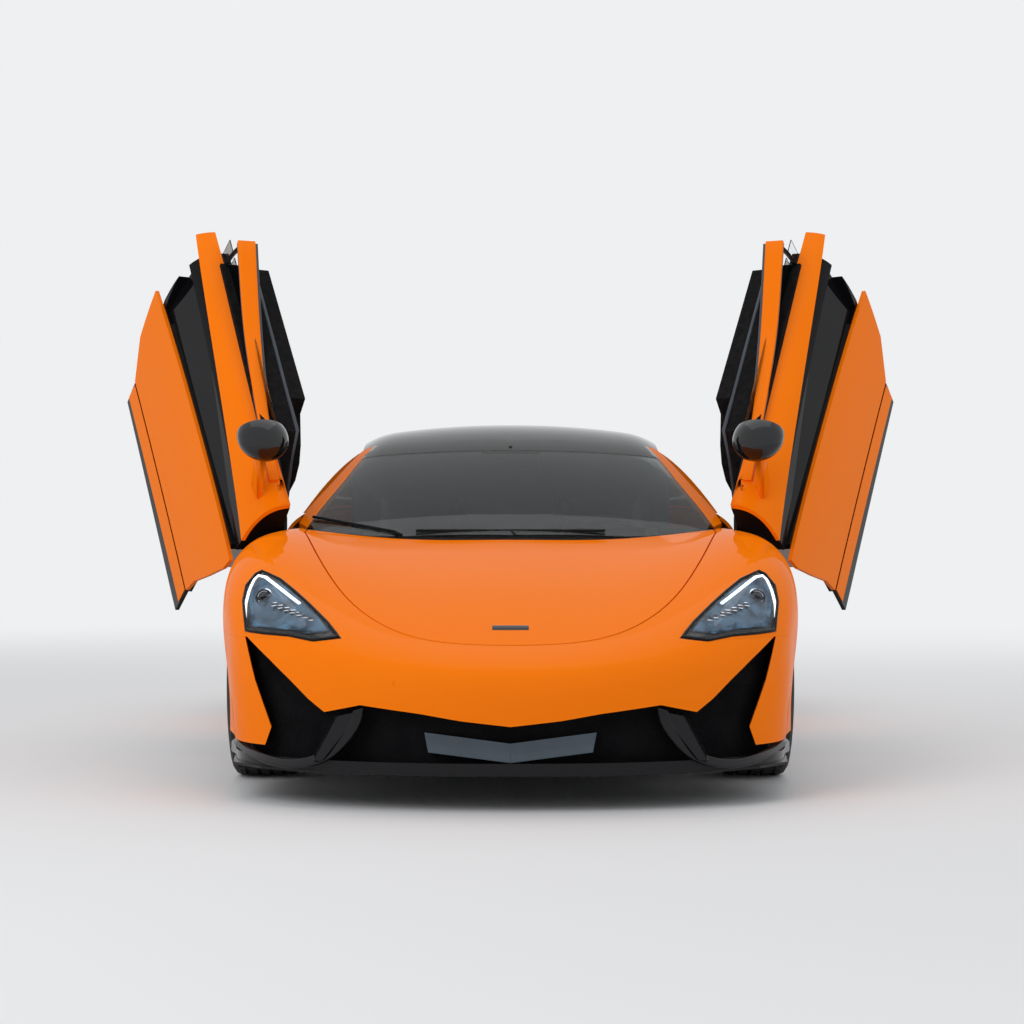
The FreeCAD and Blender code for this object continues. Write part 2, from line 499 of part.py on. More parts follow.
lowerSkin = bodySkin.common(prismX([(-695, 245), (-718, 330), (-778, 440), (-836, 560), (-840, 612), (462, 582),
                                    (408, 381), (300, 245)], 600, 1200))
shoulderArea = prismX([(-816, 695), (522, 838), (498, 1000), (-700, 1000), (-748, 815)], 500, 1200)
shoulder = bodySkin.common(shoulderArea).common(prismZ([(754, -900), (788, 600), (1200, 600), (1200, -900)], 600, 1000))
barSpots = [V(772, -680, 822), V(757, -200, 938), V(740, 340, 1008)]
bar = rod(barSpots[0], barSpots[1], 11).fuse(rod(barSpots[1], barSpots[2], 11)).fuse(Part.makeSphere(11, barSpots[1]))
bar = bar.fuse(rod(barSpots[2], V(775, 350, 850), 10))
egg = Part.makeSphere(1).transformGeometry(FreeCAD.Matrix(72, 0, 0, 885, 0, 84, 0, -592, 0, 0, 62, 985, 0, 0, 0, 1))
stalk = slab([V(862, -700, 788), V(872, -640, 788), V(893, -580, 935), V(885, -620, 935)], V(-22, 6, 0)).cut(egg)
upperSkin = solidOf(shoulder.fuse(stalk).fuse(bar))
addDoorPiece("door_skin", Part.makeCompound(solidOf(lowerSkin).Solids + upperSkin.Solids))
skirt = bodySkin.common(prismX([(-692, 118), (-694, 240), (296, 240), (286, 140)], 600, 1200))
scallopCorners = [V(900, -800, 622), V(893, -786, 690), V(846, 430, 780), V(900, 372, 590)]
channel = slab(scallopCorners, V(-8, 0, 0))
scallop = slab(scallopCorners, V(200, 0, 0))
core = under(prismX([(-640, 320), (-780, 600), (-735, 790), (430, 900), (400, 600), (290, 320)], 745, 1000)).cut(scallop)
elbow, shoulderSpot = V(713, -799, 610), V(718, -694, 687)
eye = rod(hingePoint - pinLine * 19, hingePoint + pinLine * 19, 18).fuse(rod(hingePoint, elbow, 11))
eye = eye.fuse(Part.makeSphere(11, elbow)).fuse(rod(elbow, shoulderSpot, 11))
eye = eye.fuse(Part.makeSphere(11, shoulderSpot)).fuse(rod(shoulderSpot, V(775, -650, 700), 11))
flange = under(box(893, 1000, -670, 284, 205, 322))
eye = eye.cut(rod(hingePoint - pinLine * 60, hingePoint + pinLine * 60, 9.05))
glass = slab([V(755, -430, 700), V(766, 425, 700), V(766, 425, 925), V(755, -430, 876)], V(4, 0, 0))
core = solidOf(core.fuse(flange).fuse(eye).cut(upperSkin).cut(glass))
core = solidOf(core.fuse(solidOf(skirt)).fuse(channel))
addDoorPiece("door_frame", core)
pad = prismX([(-490, 400), (-480, 640), (-450, 700), (-400, 745), (-300, 800), (-280, 862), (350, 862), (355, 500),
              (250, 400)], 606, 662)
card = pad.fuse(prismX([(-600, 345), (-590, 640), (-500, 740), (-430, 850), (355, 868), (355, 500), (250, 345)], 660, 800))
addDoorPiece("door_card", solidOf(card.cut(core).cut(glass).cut(upperSkin)))
addDoorPiece("door_glass", max(solidOf(glass.cut(upperSkin)).Solids, key=lambda part: part.Volume))
addDoorPiece("mirror", egg)

# Wheels: tyre and rim as primitives bound to the sheet, axis along X at each hub
def bindTo(obj, **expressions):
    for name, text in expressions.items():
        obj.setExpression(name, text)
    return obj


TOWARD_X = FreeCAD.Rotation(V(0, 1, 0), 90)


def cylinder(name, radius, height):
    return bindTo(doc.addObject("Part::Cylinder", name), Radius=radius, Height=height)


def addWheel(end, side, suffix):
    tyreRadius, tyreWidth, rimRadius = (key % end for key in ("Dimensions.%sTyreRadius", "Dimensions.%sTyreWidth", "Dimensions.%sRimRadius"))
    track, axleY = dim(end + "TrackHalf"), frontAxleY if end == "front" else rearAxleY
    width, radius = dim(end + "TyreWidth"), dim(end + "TyreRadius")
    spot = FreeCAD.Placement(V(side * track - width / 2, axleY, radius), TOWARD_X)
    outer = cylinder("TyreOuter" + suffix, tyreRadius, tyreWidth)
    bore = cylinder("TyreBore" + suffix, rimRadius + " + Dimensions.tyreGap", tyreWidth)
    cut = doc.addObject("Part::Cut", "TyreRing" + suffix)
    cut.Base, cut.Tool = outer, bore
    doc.recompute()
    tyre = doc.addObject("Part::Fillet", "Tyre" + suffix)
    tyre.Base = cut
    tyre.Edges = [(i + 1, 34, 34) for i, edge in enumerate(cut.Shape.Edges)
                  if hasattr(edge.Curve, "Radius") and edge.Closed and abs(edge.Curve.Radius - radius) < 0.01]
    tyre.Label = "tyre_" + suffix
    tyre.Placement = spot
    NODES.append(tyre)
    rimOuter = cylinder("RimOuter" + suffix, rimRadius, tyreWidth + " - 8")
    rimBore = cylinder("RimBore" + suffix, rimRadius + " - Dimensions.rimWall", tyreWidth + " - 8")
    barrel = doc.addObject("Part::Cut", "RimBarrel" + suffix)
    barrel.Base, barrel.Tool = rimOuter, rimBore
    face = width - 8 - 42 if side > 0 else 20
    parts = [barrel]
    hub = cylinder("RimHub" + suffix, "72", "46")
    hub.Placement = FreeCAD.Placement(V(0, 0, face - (20 if side > 0 else 4)), FreeCAD.Rotation())
    parts.append(hub)
    reach = dim(end + "RimRadius") - dim("rimWall") / 2
    for spoke in range(5):
        for lean in (-9, 9):
            arm = doc.addObject("Part::Box", "Spoke%s%d%d" % (suffix, spoke, lean + 9))
            bindTo(arm, Length=rimRadius + " - Dimensions.rimWall / 2 - 40", Width="24", Height="22")
            turn = FreeCAD.Rotation(V(0, 0, 1), 72 * spoke + lean + 90)
            arm.Placement = FreeCAD.Placement(turn.multVec(V(40, -12, 0)) + V(0, 0, face), turn)
            parts.append(arm)
    disc = cylinder("Disc" + suffix, "180" if end == "front" else "176", "32")
    disc.Placement = FreeCAD.Placement(V(0, 0, face - 62 if side > 0 else face + 60), FreeCAD.Rotation())
    neck = cylinder("DiscNeck" + suffix, "60", "44")
    neck.Placement = FreeCAD.Placement(V(0, 0, face - 42 if side > 0 else face + 20), FreeCAD.Rotation())
    union = doc.addObject("Part::MultiFuse", "RimUnion" + suffix)
    union.Shapes = parts + [disc, neck]
    axleHole = cylinder("AxleHole" + suffix, "22.05", "400")
    axleHole.Placement = FreeCAD.Placement(V(0, 0, -100), FreeCAD.Rotation())
    rim = doc.addObject("Part::Cut", "Rim" + suffix)
    rim.Base, rim.Tool = union, axleHole
    rim.Label = "rim_" + suffix
    rim.Placement = FreeCAD.Placement(V(side * track - (width - 8) / 2, axleY, radius), TOWARD_X)
    NODES.append(rim)


for end in ("front", "rear"):
    addWheel(end, 1, end + "_left")
    addWheel(end, -1, end + "_right")

# Knuckles that turn with the front wheels, and the arms that hold them
kingpinX = 690
hubZ = dim("frontTyreRadius")
upright = box(660, 716, frontAxleY - 50, frontAxleY + 50, 190, 450)
spindle = rod(V(700, frontAxleY, hubZ), V(frontTrack := dim("frontTrackHalf") + 60, frontAxleY, hubZ), 22)
knuckle = upright.fuse(spindle).fuse(rod(V(690, frontAxleY, 180), V(690, frontAxleY, 460), 24))
addNode("knuckle_left", solidOf(knuckle))
addNode("knuckle_right", flip(knuckle))
arms = []
for z in (160, 460.3):
    for y in (-170, 170):
        arms.append(rod(V(480, frontAxleY + y, z + 10), V(688, frontAxleY, z + 10), 9))
    arms.append(rod(V(690, frontAxleY, z), V(690, frontAxleY, z + 19.7), 26))
front = arms[0]
for arm in arms[1:]:
    front = front.fuse(arm)
rail = box(470, 486, frontAxleY - 200, frontAxleY + 200, 124, 500)
addNode("front_suspension", both(solidOf(front.fuse(rail))))
rearZ = dim("rearTyreRadius")
rear = box(630, 664, rearAxleY - 60, rearAxleY + 60, 200, 520)
rear = rear.fuse(rod(V(664, rearAxleY, rearZ), V(dim("rearTrackHalf") + 70, rearAxleY, rearZ), 22))
for z in (215, 500):
    for y in (-180, 180):
        rear = rear.fuse(rod(V(440, rearAxleY + y, z), V(640, rearAxleY, z), 14))
rear = rear.fuse(box(430, 446, rearAxleY - 220, rearAxleY + 180, 124, 540))
rear = rear.fuse(rod(V(300, rearAxleY, rearZ), V(640, rearAxleY, rearZ), 20))
addNode("rear_suspension", both(solidOf(rear)))
doc.recompute()
bad = []
for node in NODES:
    if "Invalid" in node.State or "Error" in node.State or node.Shape.isNull() or not node.Shape.isValid():
        bad.append(node.Label)
if bad:
    raise RuntimeError("unsound pieces: " + ", ".join(bad))
os.makedirs("parts", exist_ok=True)
for node in NODES:
    node.Shape.exportStep("parts/" + node.Label + ".step")
print(len(NODES), "pieces written")
for node in NODES:
    print(node.Label, len(node.Shape.Solids), round(node.Shape.Volume / 1000))
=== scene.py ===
import math
import bpy
from mathutils import Matrix, Vector


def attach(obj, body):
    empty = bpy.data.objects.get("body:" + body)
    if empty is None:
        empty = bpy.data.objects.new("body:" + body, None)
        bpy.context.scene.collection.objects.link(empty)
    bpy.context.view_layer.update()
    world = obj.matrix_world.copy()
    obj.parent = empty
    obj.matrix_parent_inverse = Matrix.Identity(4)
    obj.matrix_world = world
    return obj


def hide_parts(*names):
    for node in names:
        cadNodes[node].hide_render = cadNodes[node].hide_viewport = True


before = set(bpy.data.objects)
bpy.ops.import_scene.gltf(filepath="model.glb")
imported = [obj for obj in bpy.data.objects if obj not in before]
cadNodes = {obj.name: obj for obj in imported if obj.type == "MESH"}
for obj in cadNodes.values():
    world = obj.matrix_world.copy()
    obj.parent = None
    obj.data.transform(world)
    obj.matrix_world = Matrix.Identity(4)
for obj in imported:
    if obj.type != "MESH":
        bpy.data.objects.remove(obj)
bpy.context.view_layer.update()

finishes = {}


# handling of pieces

def startEdit():
    bpy.ops.object.mode_set(mode="EDIT")


def endEdit():
    bpy.ops.object.mode_set(mode="OBJECT")


def deselectAll():
    if bpy.context.object and bpy.context.object.mode != "OBJECT":
        endEdit()
    bpy.ops.object.select_all(action="DESELECT")


def useOnly(piece):
    deselectAll()
    piece.select_set(True)
    bpy.context.view_layer.objects.active = piece


def settle(piece, name):
    # the piece's place goes into its mesh, its object stays at the origin
    piece.name = name
    piece.data.name = name
    bpy.ops.object.transform_apply(location=True, rotation=True, scale=True)
    return piece


def startBlock(name, centre, size):
    deselectAll()
    bpy.ops.mesh.primitive_cube_add(size=1, location=centre)
    bpy.context.object.scale = size
    return settle(bpy.context.object, name)


def startRod(name, start, end, radius, sides=32):
    deselectAll()
    start, end = Vector(start), Vector(end)
    turn = (end - start).to_track_quat("Z", "Y").to_euler()
    bpy.ops.mesh.primitive_cylinder_add(vertices=sides, radius=radius, depth=(end - start).length,
                                        location=(start + end) / 2, rotation=turn)
    return settle(bpy.context.object, name)


def startBall(name, centre, size, rings=24):
    deselectAll()
    bpy.ops.mesh.primitive_uv_sphere_add(segments=rings * 2, ring_count=rings, radius=1, location=centre)
    bpy.context.object.scale = size
    return settle(bpy.context.object, name)


def startRing(name, centre, axis, radius, thickness, steps=72, sides=16):
    deselectAll()
    turn = Vector(axis).to_track_quat("Z", "Y").to_euler()
    bpy.ops.mesh.primitive_torus_add(location=centre, rotation=turn, major_radius=radius,
                                     minor_radius=thickness, major_segments=steps, minor_segments=sides)
    return settle(bpy.context.object, name)


def drawSteps(start, steps):
    # one vertex, drawn out along the steps; its mesh is left open for more
    deselectAll()
    bpy.ops.mesh.primitive_plane_add(size=0.01, location=start)
    piece = bpy.context.object
    startEdit()
    bpy.ops.mesh.select_mode(type="VERT")
    bpy.ops.mesh.select_all(action="SELECT")
    bpy.ops.mesh.merge(type="CENTER")
    for step in steps:
        bpy.ops.mesh.extrude_vertices_move(TRANSFORM_OT_translate={"value": step})
    bpy.ops.mesh.select_all(action="SELECT")
    return piece


def drawPlate(name, corners, push):
    # an outline, filled and pushed to a thickness
    steps = [Vector(after) - Vector(before) for before, after in zip(corners, corners[1:])]
    plate = drawSteps(corners[0], steps)
    bpy.ops.mesh.edge_face_add()
    bpy.ops.mesh.extrude_region_move(TRANSFORM_OT_translate={"value": push})
    bpy.ops.mesh.select_all(action="SELECT")
    bpy.ops.mesh.normals_make_consistent(inside=False)
    endEdit()
    return settle(plate, name)


def drawLine(name, spots, radius, closed=False):
    # a round strip that follows the spots, its corners kept
    deselectAll()
    bpy.ops.curve.primitive_bezier_curve_add(location=(0, 0, 0))
    line = bpy.context.object
    startEdit()
    bpy.ops.curve.select_all(action="SELECT")
    bpy.ops.curve.delete(type="VERT")
    endEdit()
    spline = line.data.splines.new("POLY")
    spline.points.add(len(spots) - 1)
    for point, spot in zip(spline.points, spots):
        point.co = (*spot, 1)
    spline.use_cyclic_u = closed
    line.data.dimensions = "3D"
    line.data.bevel_depth = radius
    line.data.bevel_resolution = 3
    line.data.use_fill_caps = True
    useOnly(line)
    bpy.ops.object.convert(target="MESH")
    return settle(bpy.context.object, name)


def editAll(piece):
    useOnly(piece)
    startEdit()
    bpy.ops.mesh.select_all(action="SELECT")


# the faces to work on, by the way they look
def facesAhead(middle, normal):
    return normal.y < -0.8


def facesBack(middle, normal):
    return normal.y > 0.8


def facesOut(middle, normal):
    return normal.x > 0.9


def facesIn(middle, normal):
    return normal.x < -0.8


def pickFaces(piece, wanted):
    useOnly(piece)
    startEdit()
    bpy.ops.mesh.select_mode(type="FACE")
    bpy.ops.mesh.select_all(action="DESELECT")
    endEdit()
    for face in piece.data.polygons:
        face.select = bool(wanted(face.center, face.normal))
    startEdit()


def insetFaces(piece, wanted, thickness, depth, apart=False):
    pickFaces(piece, wanted)
    bpy.ops.mesh.inset(thickness=thickness, depth=depth, use_individual=apart)
    endEdit()
    return piece


def removeFaces(piece, wanted):
    pickFaces(piece, wanted)
    bpy.ops.mesh.delete(type="FACE")
    endEdit()
    return piece


def removeSpots(piece, wanted):
    # vertices go, and the faces round them
    useOnly(piece)
    startEdit()
    bpy.ops.mesh.select_mode(type="VERT")
    bpy.ops.mesh.select_all(action="DESELECT")
    endEdit()
    for vertex in piece.data.vertices:
        vertex.select = bool(wanted(vertex.co))
    startEdit()
    bpy.ops.mesh.delete(type="VERT")
    endEdit()
    return piece


def applyModifier(piece, kind, **settings):
    useOnly(piece)
    modifier = piece.modifiers.new(kind.title(), kind)
    for key, value in settings.items():
        setattr(modifier, key, value)
    bpy.ops.object.modifier_apply(modifier=modifier.name)
    return piece


def bevelEdges(piece, width, segments=2, angle=35):
    return applyModifier(piece, "BEVEL", width=width, segments=segments, limit_method="ANGLE",
                         angle_limit=math.radians(angle), harden_normals=False)


def keepBeyond(piece, spot, direction):
    # what lies on the far side of the plane, along direction, stays
    editAll(piece)
    bpy.ops.mesh.bisect(plane_co=spot, plane_no=direction, clear_inner=True)
    endEdit()
    return piece


def smooth(piece, angle=32):
    useOnly(piece)
    bpy.ops.object.shade_smooth_by_angle(angle=math.radians(angle))
    return piece


def finish(piece, body, finishName, edge=0.0, angle=32):
    if edge:
        bevelEdges(piece, edge)
    smooth(piece, angle)
    piece.data.materials.clear()
    piece.data.materials.append(finishes[finishName])
    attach(piece, body)
    return piece


def joinPieces(name, pieces):
    deselectAll()
    for piece in pieces:
        piece.select_set(True)
    bpy.context.view_layer.objects.active = pieces[0]
    bpy.ops.object.join()
    pieces[0].name = name
    pieces[0].data.name = name
    return pieces[0]


def copyPiece(piece, name):
    useOnly(piece)
    bpy.ops.object.duplicate(linked=False)
    copy = bpy.context.object
    copy.name = name
    copy.parent = None
    return copy


def mirrorCopy(piece, name):
    # the same piece for the other side of the car, turned inside out again after the mirroring
    copy = copyPiece(piece, name)
    copy.data.name = name
    copy.scale.x = -1
    bpy.ops.object.transform_apply(location=True, rotation=True, scale=True)
    editAll(copy)
    bpy.ops.mesh.flip_normals()
    endEdit()
    return copy


def finishPair(piece, body, finishName, edge=0.0, angle=32):
    # finishes a piece made on the car's left and makes its twin for the right
    stem = piece.name
    if edge:
        bevelEdges(piece, edge)
    twin = mirrorCopy(piece, stem + "_right")
    piece.name = stem + "_left"
    finish(piece, body, finishName, 0, angle)
    finish(twin, body.replace("left", "right"), finishName, 0, angle)
    return piece, twin


def copyNode(node, name):
    # a merged copy of a CAD node's own surface, to trim and lay over it
    copy = copyPiece(cadNodes[node], name)
    copy.matrix_world = Matrix.Identity(4)
    for key in [key for key in copy.keys() if key.startswith("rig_")]:
        del copy[key]
    editAll(copy)
    bpy.ops.mesh.remove_doubles(threshold=0.00002)
    endEdit()
    return copy


def fatten(piece, distance):
    editAll(piece)
    bpy.ops.transform.shrink_fatten(value=distance)
    endEdit()
    return piece


def frontSpot(node, x, z, lift=0.0):
    # where a line from the front meets a CAD node, lifted off it towards the front
    ahead = Vector((0, 1, 0))
    hit, place, normal, index = cadNodes[node].ray_cast(Vector((x, -4, z)), ahead)
    return place - ahead * lift if hit else None


def thickSheet(name, rows, thickness):
    # a sheet through rows of spots, smoothed along its length and given a thickness
    deselectAll()
    bpy.ops.mesh.primitive_grid_add(x_subdivisions=len(rows[0]) - 1, y_subdivisions=len(rows) - 1, size=1)
    sheet = bpy.context.object
    for vertex, spot in zip(sheet.data.vertices, [spot for row in rows for spot in row]):
        vertex.co = spot
    settle(sheet, name)
    applyModifier(sheet, "SUBSURF", levels=2, boundary_smooth="PRESERVE_CORNERS")
    applyModifier(sheet, "SOLIDIFY", thickness=thickness, offset=0)
    return sheet


def layNet(name, node, net, outside, edgeOn=None):
    # a slanted wire net pushed along the car onto a CAD node, without what falls outside it or lies edge on
    deselectAll()
    bpy.ops.mesh.primitive_grid_add(x_subdivisions=net["columns"], y_subdivisions=net["rows"], size=1,
                                    location=net["place"], rotation=(math.radians(90), 0, 0))
    piece = bpy.context.object
    piece.scale = (*net["size"], 1)
    settle(piece, name)
    editAll(piece)
    bpy.ops.mesh.poke()
    flat = math.radians(180)
    bpy.ops.mesh.tris_convert_to_quads(face_threshold=flat, shape_threshold=flat)
    endEdit()
    applyModifier(piece, "SHRINKWRAP", target=cadNodes[node], wrap_method="PROJECT", use_project_x=False,
                  use_project_y=True, use_project_z=False, use_negative_direction=not net["backwards"],
                  use_positive_direction=net["backwards"], offset=net["offset"])
    removeSpots(piece, outside)
    if edgeOn:
        removeFaces(piece, edgeOn)
    return applyModifier(piece, "WIREFRAME", thickness=net["wire"], use_even_offset=False)


hinge = {"place": (0.798, -0.902, 0.731), "axis": (-0.854, 0.279, 0.44), "openAngle": -57.5}


def swingDoor(piece, angle):
    # turns a piece on the car's left about its door's hinge line
    place = Matrix.Translation(Vector(hinge["place"]))
    turn = Matrix.Rotation(math.radians(angle), 4, Vector(hinge["axis"]).normalized())
    useOnly(piece)
    piece.matrix_world = place @ turn @ place.inverted()
    bpy.ops.object.transform_apply(location=True, rotation=True, scale=True)


def hangOnDoor(piece, finishName, edge=0.0, angle=32):
    # a piece made at the shut left door's place goes up with it, and gets its twin
    swingDoor(piece, hinge["openAngle"])
    return finishPair(piece, "door_left", finishName, edge, angle)


# finishes
def makeFinish(name, look):
    material = bpy.data.materials.new(name)
    material.use_nodes = True
    tree = material.node_tree
    shader = tree.nodes["Principled BSDF"]
    for socket, value in look.get("shader", {}).items():
        shader.inputs[socket].default_value = value
    place = tree.nodes.new("ShaderNodeTexCoord")
    grain = tree.nodes.new("ShaderNodeTexNoise")
    grain.inputs["Scale"].default_value = look.get("patchScale", 6)
    grain.inputs["Detail"].default_value = 6
    tree.links.new(place.outputs["Object"], grain.inputs["Vector"])
    tint = tree.nodes.new("ShaderNodeValToRGB")
    tint.color_ramp.elements[0].color = (*look["colour"], 1)
    tint.color_ramp.elements[1].color = (*look.get("colourTwo", look["colour"]), 1)
    tint.color_ramp.elements[0].position = 0.35
    tint.color_ramp.elements[1].position = 0.65
    tree.links.new(grain.outputs["Fac"], tint.inputs["Fac"])
    colourSource = tint.outputs["Color"]
    gloss = tree.nodes.new("ShaderNodeMapRange")
    gloss.inputs["To Min"].default_value = look["rough"][0]
    gloss.inputs["To Max"].default_value = look["rough"][1]
    tree.links.new(grain.outputs["Fac"], gloss.inputs["Value"])
    tree.links.new(gloss.outputs["Result"], shader.inputs["Roughness"])
    kind = look.get("relief", "noise")
    scale = look.get("reliefScale", 400)
    if kind == "noise":
        relief = tree.nodes.new("ShaderNodeTexNoise")
        relief.inputs["Scale"].default_value = scale
        relief.inputs["Detail"].default_value = 3
        tree.links.new(place.outputs["Object"], relief.inputs["Vector"])
        height = relief.outputs["Fac"]
    elif kind == "pebble":
        relief = tree.nodes.new("ShaderNodeTexVoronoi")
        relief.inputs["Scale"].default_value = scale
        relief.feature = "DISTANCE_TO_EDGE"
        tree.links.new(place.outputs["Object"], relief.inputs["Vector"])
        height = relief.outputs["Distance"]
    elif kind == "weave":
        # two crossed waves, one over the other, as in a twill
        first = tree.nodes.new("ShaderNodeTexWave")
        second = tree.nodes.new("ShaderNodeTexWave")
        for wave, direction in ((first, "X"), (second, "Z")):
            wave.wave_type = "BANDS"
            wave.bands_direction = direction
            wave.inputs["Scale"].default_value = scale
            wave.inputs["Distortion"].default_value = 0
            tree.links.new(place.outputs["Object"], wave.inputs["Vector"])
        relief = tree.nodes.new("ShaderNodeMath")
        relief.operation = "MULTIPLY"
        tree.links.new(first.outputs["Fac"], relief.inputs[0])
        tree.links.new(second.outputs["Fac"], relief.inputs[1])
        height = relief.outputs["Value"]
        check = tree.nodes.new("ShaderNodeMix")
        check.data_type = "RGBA"
        check.inputs["B"].default_value = (*look.get("weaveColour", look["colour"]), 1)
        tree.links.new(height, check.inputs["Factor"])
        tree.links.new(colourSource, check.inputs["A"])
        colourSource = check.outputs["Result"]
    elif kind == "rings":
        relief = tree.nodes.new("ShaderNodeTexWave")
        relief.wave_type = "RINGS"
        relief.rings_direction = "X"
        relief.inputs["Scale"].default_value = scale
        relief.inputs["Distortion"].default_value = 0.4
        tree.links.new(place.outputs["Object"], relief.inputs["Vector"])
        height = relief.outputs["Fac"]
    bump = tree.nodes.new("ShaderNodeBump")
    bump.inputs["Strength"].default_value = look.get("bump", 0.05)
    bump.inputs["Distance"].default_value = look.get("bumpDepth", 0.0005)
    tree.links.new(height, bump.inputs["Height"])
    tree.links.new(bump.outputs["Normal"], shader.inputs["Normal"])
    tree.links.new(colourSource, shader.inputs["Base Color"])
    material.diffuse_color = (*look["colour"], 1)
    finishes[name] = material


